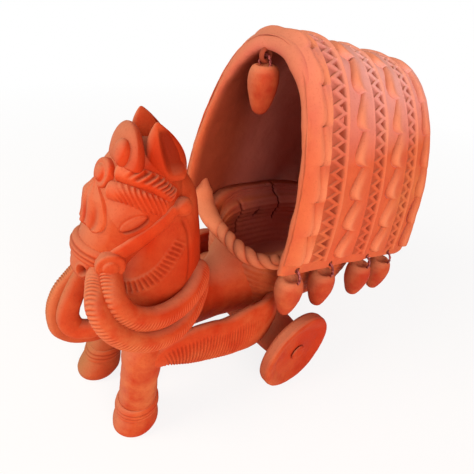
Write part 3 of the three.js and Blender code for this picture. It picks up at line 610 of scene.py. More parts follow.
def eye_marks(t, bearing):
    """Relief of a heavy-lidded almond eye in millimetres, and its painted light: painted shade in the soft
    line and the crease, painted highlight on the upper eyeball. A lid swells over the almond, a soft line
    marks its upper edge and a deep crease its lower one. Across runs from the inner corner to the outer one."""
    down, back = (t - EYE[0]) * FACE_LONG, (bearing - EYE[1]) * EYE_DEGREE
    across = (-EYE_SLANT[0] * down + EYE_SLANT[1] * back) / EYE_HALF
    up = -EYE_SLANT[1] * down - EYE_SLANT[0] * back
    reach = np.sqrt(np.clip(1 - across ** 2, 0, 1))
    lid, sill = 3.9 * reach, -2.2 * reach
    inside = ramp(reach, 0.02, 0.55)
    share = (up - sill) / np.maximum(lid - sill, 0.4)
    ball = 0.6 * inside * np.clip(1 - (2 * share - 1) ** 2, 0, 1) ** 0.7
    brow = 2.2 * hump(np.hypot(across * EYE_HALF + 2.0, (up - 4.8) * 1.2), 9.5)
    fold = -0.3 * inside * hump(up - lid, 0.8)
    crease = -1.25 * ramp(1.25 - np.abs(across), 0, 0.45) * hump(up - sill + 0.2, 0.85)
    pouch = 0.5 * inside * hump(up - sill + 2.4, 1.6)
    # Painted shade in the crease and the soft line, painted highlight on the upper eyeball.
    marks = crease + 0.7 * fold + 0.2 * inside * ramp(share, 0.2, 0.6)
    return ball + brow + fold + crease + pouch, marks


def muzzle_marks(t, bearing):
    """Relief of nostril and lips in millimetres, and the painted shade in them: a pit with a raised edge, and
    a groove round the end of the muzzle."""
    off = np.hypot((t - NOSTRIL[0]) * FACE_LONG, (bearing - NOSTRIL[1]) * NOSTRIL_DEGREE)
    pit = -3.4 * hump(off, 2.0) + 0.8 * hump(off - 3.4, 1.1)
    below = (t - LIPS - 0.00028 * np.abs(bearing - 10)) * FACE_LONG
    lips = -1.5 * hump(below, 0.8) * ramp(95 - np.abs(bearing), 0, 30)
    # The second value is painted shade in the pit and the lip groove.
    return pit + lips, np.minimum(-1.2 * hump(off, 2.2), lips)


class CART_OT_horse_body(bpy.types.Operator):
    """Barrel and neck drawn into one skin, with a collar of pressed strokes and a mane crease"""

    bl_idname = "cart.horse_body"
    bl_label = "Horse body"

    collar_ticks = 20

    def barrel(self, angle):
        """Ellipses whose half axes follow the BARREL rows. The rear end leans under the tub and wraps
        round it."""
        y = np.linspace(BARREL[0][0], BARREL[-1][0], 110)
        wide, tall, mid = curve_through(BARREL[::-1], y).T[..., None]
        p = np.stack([wide * np.cos(angle), y[:, None] + 0 * angle, mid + tall * np.sin(angle)], -1)
        lean, wrap = 0.27 * (69 - p[..., 2]), 10 * (p[..., 0] / 35) ** 2
        p[..., 1] += ramp(p[..., 1], -30, 2) * (lean + wrap)
        return surface(p)

    def neck(self, angle):
        """Ellipses whose half axes follow the NECK rows."""
        z = np.linspace(NECK[0][0], NECK[-1][0], 110)
        mid, deep, wide = curve_through(NECK, z).T[..., None]
        p = np.stack([wide * np.cos(angle), mid + deep * np.sin(angle), z[:, None] + 0 * angle], -1)
        return surface(p)

    def execute(self, context):
        angle = circle(72)
        verts, loops, starts, normals = fused([self.barrel(angle), self.neck(angle)], voxel=0.8, rounds=14)
        depth = hand(verts, context.scene.cart_sizes.wobble, 3)
        press = np.zeros(len(verts))
        for side in (1, -1):
            mirror = np.array([side, 1, 1])
            dist, share = along_path(verts, path_through(np.array(COLLAR) * mirror, 260))
            band = ramp(5.2 - dist, 0, 2.0) * ramp(share, 0.0, 0.1) * ramp(1 - share, 0.0, 0.1)
            cut = strokes(share * self.collar_ticks, 1.2) * ramp(4.2 - dist, 0, 2.0) * ramp(share, 0.02, 0.1)
            depth += 0.8 * band - 1.15 * cut
            # Painted highlight on the raised collar band and painted shade in its strokes.
            press += 0.12 * band * (1 - cut) - 0.6 * cut
            dist, share = along_path(verts, path_through(np.array(MANE) * mirror, 200))
            crease = hump(dist, 0.9) * ramp(share, 0, 0.15) * ramp(1 - share, 0, 0.2)
            depth -= 1.1 * crease
            # Painted shade in the mane crease.
            press -= 0.6 * crease
        part = (verts + normals * depth[:, None], loops, starts, np.clip(press, -1, 1))
        place("horse_body", part, "horse_clay", name="horse_body_skin")
        return {"FINISHED"}


class CART_OT_horse_head(bpy.types.Operator):
    """Head with lidded eyes, nostrils and lips modelled in the clay"""

    bl_idname = "cart.horse_head"
    bl_label = "Horse head"

    def execute(self, context):
        round_head = np.linspace(180, -180, 330, endpoint=False)
        t, bearing = np.meshgrid(np.linspace(POLL, CHIN, 300), round_head, indexing="ij")
        p = head_point(t, bearing)
        relief, press = np.zeros(t.shape), np.zeros(t.shape)
        for side in (1, -1):
            # Each marks function also gives painted shade in its hollows, and painted highlight on the upper
            # eyeball.
            for marks in (eye_marks, muzzle_marks):
                rise, mark = marks(t, side * bearing)
                relief += np.where(side * bearing > 0, rise, 0)
                press += np.where(side * bearing > 0, mark, 0)
        relief += hand(p, context.scene.cart_sizes.wobble * 0.7, 11)
        place("horse_head", surface(push(p, relief), press * 0.7), "horse_clay", name="horse_head_skin")
        return {"FINISHED"}


class CART_OT_face_harness(bpy.types.Operator):
    """Brow ropes, cheek straps, noseband, nose plate and stepped bosses on the head"""

    bl_idname = "cart.face_harness"
    bl_label = "Face harness"

    # Stops are the share of the face line and the bearing. The right brow ropes start further round.
    upper = [[-0.03, 30], [-0.05, 58], [-0.05, 84], [-0.01, 100], [0.03, 112]]
    lower = [[0.14, 29], [0.11, 50], [0.11, 68], [0.12, 87], [0.135, 104]]
    upper_right = [[-0.05, 50]] + upper[1:]
    lower_right = [[0.12, 42]] + lower[1:]
    cheek = [[0.12, 124], [0.3, 106], [0.5, 92], [0.74, 80]]
    nose = [[0.79, -74], [0.79, -36], [0.79, 0], [0.79, 36], [0.79, 74]]
    plate = [  # share down, half bearing
        [0, 4], [0.1, 14], [0.24, 28], [0.5, 40], [0.75, 43], [0.9, 40], [1, 34]]
    knob = [[0, -5.3], [3.2, -4.3], [5.1, -1.2], [5.1, 1.2], [3.2, 4.3], [0, 5.3]]
    knob_at = (0.1, 127)
    rope_ticks = 11
    muzzle_lift = 3.6  # lays the muzzle bosses on the ends of the noseband

    def rope(self, stops, side, slant, half, sizes, seed):
        """Round rope with slanting strokes, pressed over its upper half or over its whole width."""
        path, out = on_head([[t, side * b] for t, b in stops], 170, 0.2)
        size = rounded_end(170, 0.06)
        p, along, around = sweep(path, out, 3.7 * size, 4.6 * size, 56)
        rise = -side * np.sin(around)
        seen = ramp(np.cos(around), -0.2, 0.3) * (ramp(rise, -0.45, 0.1) if half else 0.42)
        cut = strokes(along * self.rope_ticks - slant * rise, 0.9) * seen
        cut = cut * ramp(along, 0.1, 0.3) * ramp(1 - along, 0.02, 0.12)
        relief = hand(p, sizes.wobble * 0.6, seed) - 1.7 * sizes.tick_depth * cut
        # Painted highlight on the outer face, painted shade in the strokes.
        return surface(push(p, relief), 0.5 * seen * (0.4 - cut) - 0.5 * cut)

    def strap(self, side, sizes):
        """Flat cheek strap whose upper end is a round knob."""
        path, out = on_head([[t, side * b] for t, b in self.cheek], 120, 0.4)
        p = sweep(path, out, 2.6 * rounded_end(120, 0.05) ** 0.5, 4.3 * rounded_end(120, 0.08), 40)[0]
        t, bearing = self.knob_at[0], side * self.knob_at[1]
        knob = stand(lathe(self.knob, 36, 40), head_point(t, bearing, 2.6), head_out(t, bearing))
        verts, loops, starts, normals = fused([surface(p), surface(knob)], voxel=0.45, rounds=6)
        verts = verts + normals * hand(verts, sizes.wobble * 0.6, 23)[:, None]
        return verts, loops, starts, np.zeros(len(verts))

    def band(self, sizes):
        """Noseband: a flat strap with two grooves along it."""
        path, out = on_head(self.nose, 160, 0.5)
        p, _, around = sweep(path, out, 3.4, 5.0 * rounded_end(160, 0.03), 64)
        pair = hump(np.sin(around) - 0.28, 0.13) + hump(np.sin(around) + 0.28, 0.13)
        groove = pair * ramp(np.cos(around), 0, 0.4)
        # Painted shade in the grooves.
        return surface(push(p, hand(p, sizes.wobble * 0.5, 29) - 0.8 * groove), -0.6 * groove)

    def shield(self, sizes):
        """Nose plate: a soft dome that grows out of the brow and ends in three lobes, with grooves that
        deepen towards them. The underside is sunk into the head."""
        down = np.linspace(0, 1, 130)[:, None]
        half = curve_through(self.plate, down[:, 0])
        share = np.concatenate([np.linspace(1, -1, 90), np.linspace(-1, 1, 40)[1:-1]])[None]
        top = (np.arange(share.shape[1]) < 90)[None]
        lobes = np.abs(np.cos(1.5 * np.pi * share)) ** 0.6
        t = 0.13 + down * (0.42 + 0.045 * down ** 4 * lobes * (1 - 0.3 * share ** 2))
        edge = ramp(1 - np.abs(share), 0, 0.1) * ramp(1 - down, 0, 0.07)
        rim = 0.4 * hump(np.abs(share) - 0.33, 0.12) + 0.4 * hump(share, 0.12)
        lines = hump(np.abs(share) - 0.6, 0.1) + hump(np.abs(share) - 0.17, 0.06)
        groove = 0.7 * lines * ramp(down, 0.3, 0.7)
        dome = (1.4 + 2.0 * hump(share + 0.15, 0.55)) * ramp(down, 0, 0.4) * (1 - 0.25 * ramp(down, 0.6, 1))
        lift = np.where(top, edge * (0.5 + dome + rim - groove), -1.2)
        p = head_point(t, half * share, lift)
        p = p + head_out(t, half * share) * (hand(p, sizes.wobble * 0.6, 31) * top)[..., None]
        # Painted shade in the grooves.
        return surface(p, np.where(top, -0.45 * groove, 0) + 0 * t)

    def boss(self, t, bearing, lift, radius, sizes, seed):
        """Stepped round boss with a button in the middle."""
        turned = lathe([[r * radius, h] for r, h in BOSS], 64, 90)
        p = stand(turned, head_point(t, bearing, lift), head_out(t, bearing))
        return surface(push(p, hand(p, sizes.wobble * 0.5, seed)))

    def execute(self, context):
        sizes = context.scene.cart_sizes
        pieces = {}
        for name, side in SIDES:
            upper, lower = (self.upper, self.lower) if side > 0 else (self.upper_right, self.lower_right)
            pieces[f"brow_rope_upper_{name}"] = self.rope(upper, side, 0.92, True, sizes, 17)
            pieces[f"brow_rope_lower_{name}"] = self.rope(lower, side, -1.5, False, sizes, 19)
            pieces[f"cheek_strap_{name}"] = self.strap(side, sizes)
            pieces[f"muzzle_boss_{name}"] = self.boss(0.78, side * 82, self.muzzle_lift, 7.2, sizes, 37)
        pieces["noseband"] = self.band(sizes)
        pieces["nose_plate"] = self.shield(sizes)
        pieces["forehead_boss"] = self.boss(0.06, 9, -0.5, 7.4, sizes, 41)
        for node, part in pieces.items():
            place(node, part, "harness_clay")
        return {"FINISHED"}


class CART_OT_crest_and_ears(bpy.types.Operator):
    """Forelock crest with its oval boss, and two hollow petal ears"""

    bl_idname = "cart.crest_and_ears"
    bl_label = "Crest and ears"

    def egg(self, half, foot, behind, flat):
        """Ellipsoid with its own half height below, whose front is pressed flatter by a power. It leans back,
        stands behind the top of the face line and turns with the head."""
        lat, lon = np.meshgrid(np.linspace(-np.pi / 2, np.pi / 2, 90), circle(120), indexing="ij")
        x, y, z = np.cos(lat) * np.cos(lon), np.cos(lat) * np.sin(lon), np.sin(lat)
        y = np.where(y < 0, -np.abs(y) ** flat, y)
        z = np.where(z < 0, z * foot / half[2], z)
        p = np.stack([x, y, z], -1) * half
        return turn_head(p @ CREST_LEAN.T + (FACE_TOP + behind))

    def ear(self, side):
        """Petal and the painted shade in its hollow: at each height an ellipse whose outward face is dished,
        so a raised edge runs round a hollow."""
        u, v = np.meshgrid(np.linspace(0, 1, 110), circle(90), indexing="ij")
        swell = np.maximum(np.sin(np.pi * (0.22 + 0.77 * u)), 0.0) ** 0.8
        broad = unit(np.array([side * 0.12, 0.99, 0]))
        face = unit(np.array([side * 0.99, -0.12, 0]))
        centre = np.stack([side * (13.5 - 2 * u), -57.5 - 6 * u, 163 + 27 * u], -1)
        wide, thick = np.sin(v), np.cos(v)
        dish = ramp(thick, -0.1, 0.5) * ramp(wide + 0.35, 0, 0.45)
        dish = dish * ramp(u, 0.04, 0.3) * ramp(1 - u, 0.03, 0.25)
        depth = 5 * thick - 6.6 * dish
        p = centre + face * (depth * swell)[..., None] + broad * (9 * wide * swell)[..., None]
        # Painted shade in the hollow.
        return turn_head(p), -0.85 * dish

    def execute(self, context):
        wobble = context.scene.cart_sizes.wobble
        p = self.egg((17.5, 6.8, 16), 3, (2.2, 10.6, 2.8), 1.35)
        place("forelock_crest", surface(push(p, hand(p, wobble * 0.8, 43))), "horse_clay")
        p = self.egg((5.4, 3.5, 6.4), 6.4, (10.7, 7.0, 8.6), 1.0)
        place("crest_boss", surface(push(p, hand(p, wobble * 0.4, 47))), "harness_clay")
        for name, side in SIDES:
            p, press = self.ear(side)
            place(f"ear_{name}", surface(push(p, hand(p, wobble * 0.4, 53)), press), "horse_clay")
        return {"FINISHED"}


class CART_OT_legs(bpy.types.Operator):
    """Front legs with flared hooves and grooved ankle bands"""

    bl_idname = "cart.legs"
    bl_label = "Legs"

    ankle, ankle_half, ankle_thick = 21, 5.4, 1.7
    ankle_grooves = (22.7, 19.6)

    def rings(self, name, z, radius):
        """Circles round the leaning middle of a leg."""
        angle = circle(96)
        foot, top = np.array(FEET[name]), np.array(LEG_HEADS[name])
        middle = foot + (top - foot) * z[:, None] / LEG_TOP
        x = middle[:, :1] + radius[:, None] * np.cos(angle)
        y = middle[:, 1:] + radius[:, None] * np.sin(angle)
        return np.stack([x, y, z[:, None] + 0 * angle], -1)

    def leg(self, name, side, wobble):
        """Leg whose radius follows the LEG rows, its sole left flat."""
        z = np.concatenate([np.linspace(0, 3, 14), np.linspace(3, LEG_TOP, 130)[1:]])
        p = self.rings(name, z, curve_through(LEG, z)[:, 0])
        return surface(push(p, hand(p, wobble * 1.3, 59 + side) * ramp(p[..., 2], 0, 4)))

    def band(self, name, wobble):
        """Ankle band: a flattened ring round the leg with grooves in its outer face."""
        turn = circle(60)
        z = self.ankle + self.ankle_half * np.cos(turn)
        out = self.ankle_thick * np.sin(turn)
        groove = sum(hump(z - line, 0.5) for line in self.ankle_grooves) * (out > 0)
        radius = curve_through(LEG, z)[:, 0] + np.maximum(out, -1.5) - 0.7 * groove
        p = np.swapaxes(self.rings(name, z, radius), 0, 1)
        # Painted shade in the grooves.
        press = np.broadcast_to(-0.6 * groove, p.shape[:2])
        return surface(push(p, hand(p, wobble * 0.8, 61), wrap=True), press, wrap=True)

    def execute(self, context):
        wobble = context.scene.cart_sizes.wobble
        for name, side in SIDES:
            place(f"front_leg_{name}", self.leg(name, side, wobble), "horse_clay")
            place(f"ankle_band_{name}", self.band(name, wobble), "harness_clay")
        return {"FINISHED"}


class CART_OT_reins_and_shafts(bpy.types.Operator):
    """Thick rein ropes that loop from muzzle to chest, and the shafts to the cart, with pressed strokes"""

    bl_idname = "cart.reins_and_shafts"
    bl_label = "Reins and shafts"

    reins = {  # half width, half thickness, count of strokes, path
        "inner_left": (6.6, 5.8, 62, [
            [5, -91, 122], [15, -96, 117.5], [26, -99, 110], [30, -95, 102.5], [32, -87.5, 97],
            [32.5, -78, 94], [31, -66, 93.2], [27, -54.5, 95], [21, -46, 98], [13, -40, 102]]),
        "outer_left": (5.7, 5.2, 70, [
            [5, -98, 121], [14, -103, 116.5], [25, -107.5, 111], [31, -106.5, 103], [35, -100.5, 94],
            [37, -91, 86.5], [37, -80, 82.5], [35, -68, 81.5], [29, -55.5, 83.5], [20, -44, 87.5],
            [10, -37, 90]]),
        "inner_right": (6.4, 5.4, 0, [
            [-16, -91, 112], [-16.5, -97, 101], [-16.5, -103, 93], [-16, -108, 86], [-15.5, -112, 78],
            [-15, -113.5, 70.5], [-13, -111.5, 63.5], [-10, -105, 61], [-6, -94, 62]]),
        "outer_right": (5.2, 4.8, 60, [
            [-19, -90, 118], [-20, -97, 104], [-22, -104.5, 95], [-22.5, -111.5, 88.5], [-23, -116.5, 79.5],
            [-23, -118.8, 67.5], [-22, -117, 55.5], [-20, -109, 48], [-17, -98, 46], [-16, -91, 46]])}
    shafts = {  # point on the middle line, half width and half height there
        "left": [
            [36, -88, 68, 4, 6], [38, -74, 68, 5.4, 11], [39.5, -58, 64.5, 6.2, 14.5],
            [40, -42, 58.5, 6.5, 15], [40, -24, 54, 6.8, 18.3], [38, -4, 49.5, 6.8, 19.5],
            [33, 9, 48, 6, 19]],
        "right": [
            [-36, -88, 66, 4, 6], [-38, -74, 63, 5.4, 8], [-39.5, -58, 58, 6.2, 9],
            [-40, -42, 52, 6.5, 10], [-40, -24, 46, 6.8, 10.5], [-38, -4, 39, 6.8, 10.5],
            [-33, 9, 36, 6, 10.5]]}
    shaft_ticks = 46
    steps = 420

    def rein(self, wide, thick, ticks, stops, face, sizes):
        """Roll along its path, with strokes over the outer edge that winds round it towards the chest."""
        end = rounded_end(self.steps, 0.1)
        p, along, around = sweep(path_through(stops, self.steps), ASIDE, thick * end, wide * end, 56)
        edge = 0.45 - 0.5 * ramp(along, 0.2, 0.5)
        outer = ramp(np.sin(around + 0.9 * face * along) - edge, 0, 0.4) * (ticks > 0)
        seen = ramp(face * np.cos(around), -0.5, 0.0)
        cut = strokes(along * ticks + 1.1 * np.sin(around), 2.6) * outer * seen
        cut *= ramp(along, 0.05, 0.12) * ramp(1 - along, 0.04, 0.12)
        relief = hand(p, sizes.wobble, 67) - 0.8 * sizes.tick_depth * cut
        # Painted highlight along the outer edge, painted shade in the strokes.
        return surface(push(p, relief), 0.2 * outer - 0.65 * cut)

    def shaft(self, stops, face, sizes):
        """Tall flat roll along its middle line, with strokes over its outer face that fade to the rear."""
        path = path_through(stops[:, :3], self.steps)
        out, tall = curve_through(stops[:, [1, 3, 4]], path[:, 1]).T
        end = rounded_end(self.steps, 0.03)
        p, along, around = sweep(path, ASIDE, out * end, tall * end, 72)
        low = ramp(np.sin(around), -0.7, -0.4) * ramp(face * np.cos(around), -0.35, 0.1)
        cut = strokes(along * self.shaft_ticks - 1.2 * np.sin(around), 1.8) * low
        cut = cut * ramp(along, 0.04, 0.12) * ramp(0.8 - along, 0, 0.25)
        relief = hand(p, sizes.wobble, 71) - 1.1 * sizes.tick_depth * cut
        # Painted shade in the strokes.
        return surface(push(p, relief), -0.6 * cut)

    def execute(self, context):
        sizes = context.scene.cart_sizes
        faces = dict(SIDES)
        for name, form in self.reins.items():
            place(f"rein_{name}", self.rein(*form, faces[name.split("_")[1]], sizes), "harness_clay")
        for name, face in SIDES:
            stops = np.array(self.shafts[name], float)
            place(f"shaft_{name}", self.shaft(stops, face, sizes), "harness_clay")
        return {"FINISHED"}


# Cart

# Half width and rise of the canopy's inside, place along, height of the hem, lean in degrees and power of the
# superellipse, at each end.
MOUTH = {"half": 48.1, "rise": 111.8, "y": -12, "hem": 104, "rake": 10.5, "power": 2.1}
BACK = {"half": 54, "rise": 131, "y": 130, "hem": 67, "rake": -2, "power": 2.36}
CANOPY_LONG = BACK["y"] - MOUTH["y"]
SHELL = 6.0
STRIP_FOOT = 8.0  # height above the hem at which the strips stop
CROWN_SWELL = 0.4  # share by which the wall thickens at the crown of the mouth
TUB_FORM = [  # height from the hem, share of the half width, share of the half length
    [-50, 0.56, 0.74], [-46, 0.68, 0.83], [-36, 0.77, 0.89], [-20, 0.83, 0.94], [4.5, 0.885, 0.97],
    [7, 1, 1], [9.5, 1, 1]]
TUB_FOOT, TUB_RIM = TUB_FORM[0][0], TUB_FORM[-1][0]
TUB_INSIDE = -43  # height of the floor inside
TUB_WALL = 5.5
TUB_MIDDLE, TUB_HALF = 65, 62  # place behind the mouth, and half length
TUB_POWER = 2 / 3.4  # of the superellipse in plan
LIP_DIP = 17.5  # how far the front lip is scooped down
CART_TILT = np.array(Matrix.Rotation(np.radians(-10), 3, "X"))


def between(key, s):
    """A size of the canopy, carried straight from the mouth to the back."""
    return MOUTH[key] + (BACK[key] - MOUTH[key]) * s


def arch_angle(s, rise):
    """Angle at which the arch has risen to a height above the hem."""
    return np.arcsin(np.clip(rise / between("rise", s), 0, 1) ** (between("power", s) / 2))


def arch(s, angle, lift):
    """Point over the canopy: a superellipse from the left hem over to the right one, which widens, squares
    and leans from the mouth, s = 0, to the back, s = 1. The wall thickens towards the crown of the mouth."""
    s, angle, lift = np.broadcast_arrays(np.asarray(s, float), angle, lift)
    power = 2 / between("power", s)
    c, k = np.cos(angle), np.maximum(np.sin(angle), 0)
    lift = lift * (1 + CROWN_SWELL * ramp(k, 0.6, 1) * ramp(1 - s, 0.3, 1))
    x = (between("half", s) + lift) * np.sign(c) * np.abs(c) ** power
    rise = (between("rise", s) + lift) * k ** power
    lean = np.radians(between("rake", s))
    return np.stack([x, between("y", s) + rise * np.sin(lean), between("hem", s) + rise * np.cos(lean)], -1)


def even_angles(s, foot, count):
    """Angles that space points evenly over the arch, between feet at a height above the hem."""
    low = arch_angle(s, foot)
    fine = np.linspace(low, np.pi - low, 1200)
    walk = walked(arch(s, fine, SHELL))
    return np.interp(np.linspace(0, walk[-1], count), walk, fine)


def tub_point(angle, height, inset, share):
    """Point on the tub: a superellipse in plan whose half axes follow TUB_FORM at each height, drawn in by
    the inset, scaled about its middle by the share, dipped at the front lip and tilted with the cart."""
    angle, height, inset, share = np.broadcast_arrays(angle, height, inset, share)
    wide, long = np.moveaxis(curve_through(TUB_FORM, height), -1, 0)
    c, k = np.cos(angle), np.sin(angle)
    y = TUB_MIDDLE + (TUB_HALF * long - inset) * np.sign(k) * np.abs(k) ** TUB_POWER
    half = (between("half", np.clip(y / CANOPY_LONG, 0, 1)) - 0.3) * wide - inset
    dip = LIP_DIP * np.maximum(0, -k) ** 2 * ramp(height, -LIP_DIP, TUB_RIM)
    x = half * np.sign(c) * np.abs(c) ** TUB_POWER
    p = np.stack([x * share, TUB_MIDDLE + (y - TUB_MIDDLE) * share, height - dip], -1)
    return p @ CART_TILT.T + np.array([0, MOUTH["y"], MOUTH["hem"]])


BELLS = ["bell_front"] + [f"bell_{side}_{number}" for side, _ in SIDES for number in range(1, 5)]
WIRE_R = 0.9
LOOP_RIDE = 0.367  # height of the wire's middle above the hole's middle, at the top of the loop
HOLE_R = 1.925


def loop_of(bell):
    """Middle of the hole that a bell's loop runs through and the loop's radius, from the loop's box."""
    low, high = (np.array(corner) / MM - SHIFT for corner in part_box(f"{bell}_loop"))
    middle = (low + high) / 2
    return np.array([middle[0], middle[1], high[2] - WIRE_R - LOOP_RIDE]), (high[0] - low[0]) / 2 - WIRE_R


class CART_OT_tub(bpy.types.Operator):
    """Thrown tub with throwing rings and scored slits, and the twisted rope on its lip"""

    bl_idname = "cart.tub"
    bl_label = "Tub and lip rope"

    lip = [
        [-50.5, 7, 119], [-48.5, 4.5, 113], [-44.5, 1.8, 107.5], [-38.5, -0.3, 102.5], [-30, -3, 100],
        [-21, -5.5, 99], [-9, -6.3, 97.4], [4, -7.5, 96.5], [14, -7.8, 96.2], [21, -6, 95.4],
        [29, -2.8, 95.8], [36, 0.8, 98.2], [41.2, 2, 103.4]]
    lip_radius = 4.8
    lip_turns = 11
    slits = (30, 50, 73.5)  # places along the cart
    slit_clear = 22  # half width of the floor that they leave out
    ring_gap = 4.6

    def vessel(self, sizes):
        """Rings that run from the middle of the foot out, up the outside, over the rim, down the inside and
        in to the middle of the floor. Throwing rings and scored slits are pressed into the wall."""
        spread, up, down = 25, 90, 110
        shares = np.linspace(0.02, 1, spread + 1)
        outer, inner = np.linspace(TUB_FOOT, TUB_RIM, up), np.linspace(TUB_RIM, TUB_INSIDE, down)
        height = np.concatenate([np.full(spread, TUB_FOOT), outer, inner, np.full(spread, TUB_INSIDE)])
        thick = TUB_WALL + 4.5 * ramp(inner, 4.5, 7)
        inset = np.concatenate([np.zeros(spread + up), thick, np.full(spread, TUB_WALL)])
        share = np.concatenate([shares[:-1], np.ones(up + down), shares[-2::-1]])
        p = tub_point(circle(300)[None], height[:, None], inset[:, None], share[:, None])
        inside = (np.arange(len(height)) >= spread + up)[:, None]
        wall = (share == 1)[:, None]
        wave = np.sin(2 * np.pi * height / self.ring_gap)[:, None]
        rings = sizes.ring_depth * wave * wall * np.where(inside, 1.0, 0.5)
        slit = sum(hump(p[..., 1] - y, 1.3) for y in self.slits)
        slit = slit * ramp(p[..., 2], 62, 69) * ramp(101 - p[..., 2], 0, 5)
        slit = slit * inside * (np.abs(p[..., 0]) > self.slit_clear) * wall
        # Painted shade in the slits.
        return surface(push(p, hand(p, sizes.wobble, 73) + rings - 1.5 * slit), -slit)

    def rope(self, sizes):
        """Roll along the lip, plain and broad on the horse's right and twisted on its left: lobes wind round
        it as it goes."""
        steps = 560
        share = np.linspace(0, 1, steps)
        size = self.lip_radius * rounded_end(steps, 0.05) * (0.7 + 0.3 * ramp(share, 0, 0.12))
        broad = (1.5 - 0.5 * ramp(share, 0.25, 0.6)) * (0.55 + 0.45 * ramp(share, 0, 0.12))
        p, along, around = sweep(path_through(self.lip, steps), UP, size, size * broad, 60)
        lobe = np.abs(np.sin(np.pi * self.lip_turns * along - around))
        twisted = ramp(along, 0.34, 0.6)
        relief = 1.5 * (lobe ** 0.6 - 0.75) * twisted + hand(p, sizes.wobble * 0.8, 79)
        # Painted highlight on the plain part and on the lobes, painted shade between the lobes.
        press = 0.6 * (1 - twisted) + 0.6 * lobe * twisted - 0.8 * (1 - lobe) ** 4 * twisted
        return surface(push(p, relief), press)

    def execute(self, context):
        sizes = context.scene.cart_sizes
        place("cart_tub", self.vessel(sizes), "tub_clay")
        place("tub_rim_rope", self.rope(sizes), "canopy_clay")
        return {"FINISHED"}


class CART_OT_running_gear(bpy.types.Operator):
    """Axle with its clay block, dished wheels and the dimpled rings that keep them on"""

    bl_idname = "cart.running_gear"
    bl_label = "Wheels and axle"

    hub = np.array([0, WHEEL_Y, WHEEL_R])
    pin_end = 63.3
    beam_half = [  # radius, distance from the middle
        [16, 40], [15.2, 47], [12.5, 53.5], [8, 57], [6.4, 58.2], [3.6, 58.2], [3.6, pin_end]]
    block_half = np.array([28, 13.5, 0])
    block_span = (-4, 32)  # below and above the hub
    wheel_middle = 60.75
    wheel_face = [  # radius, half thickness
        [4.0, 2.15], [12, 2.0], [20, 2.5], [23.5, 3.9], [25.5, 4.6], [28, 4.7], [29.6, 3.9], [WHEEL_R, 2.2]]
    cap_foot = 63.6
    cap = [  # radius, height
        [0, 0], [6, 0], [6, 0.9], [5.4, 1.5], [4.4, 1.8], [3.2, 1.75], [2.2, 1.3], [1.2, 0.8], [0, 0.7]]

    def axle(self, wobble):
        """Turned beam that narrows to a pin at each end, fused with a block that carries the tub: a
        superellipse in plan, drawn up. The pins stay true."""
        half, end = self.beam_half, self.pin_end
        profile = [[0, -end]] + [[r, -x] for r, x in half[::-1]] + half + [[0, end]]
        beam = stand(lathe(profile, 64, 260), self.hub, ASIDE)
        turn = circle(80)
        ring = np.stack([np.cos(turn), np.sin(turn), 0 * turn], -1)
        ring = self.block_half * np.sign(ring) * np.abs(ring) ** 0.4
        block = self.hub + ring[None] + np.linspace(*self.block_span, 40)[:, None, None] * UP
        verts, loops, starts, normals = fused([surface(beam), surface(block)], voxel=0.7, rounds=6)
        rough = ramp(54 - np.abs(verts[:, 0]), 0, 3)
        verts = verts + normals * (rough * hand(verts, wobble, 83))[:, None]
        return verts, loops, starts, np.zeros(len(verts))

    def wheel(self, side, wobble):
        """Dished disc: the face's profile and its mirror image, turned about the axle. The bore and the rim
        stay true."""
        disc = [[r, -h] for r, h in self.wheel_face] + self.wheel_face[::-1]
        profile = np.array(disc + disc[:1])
        run = walked(profile)
        even = np.linspace(0, run[-1], 150, endpoint=False)
        r, h = (np.interp(even, run, profile[:, k]) for k in (0, 1))
        turn = circle(220)[:, None]
        grid = np.stack([r * np.cos(turn), r * np.sin(turn), h + 0 * turn], -1)
        p = stand(grid, self.hub + side * self.wheel_middle * ASIDE, side * ASIDE)
        rough = hand(p, wobble * 0.9, 89 + side) * ramp(WHEEL_R + 0.1 - r, 0, 2.5) * ramp(r, 6, 9)
        return surface(push(p, rough, wrap=True), wrap=True)

    def execute(self, context):
        wobble = context.scene.cart_sizes.wobble
        place("axle_beam", self.axle(wobble), "tub_clay")
        for name, side in SIDES:
            place(f"wheel_{name}", self.wheel(side, wobble), "wheel_clay", f"wheel_{name}")
            cap = stand(lathe(self.cap, 60, 60), self.hub + side * self.cap_foot * ASIDE, side * ASIDE)
            place(f"axle_cap_{name}", surface(cap), "wheel_clay")
        return {"FINISHED"}


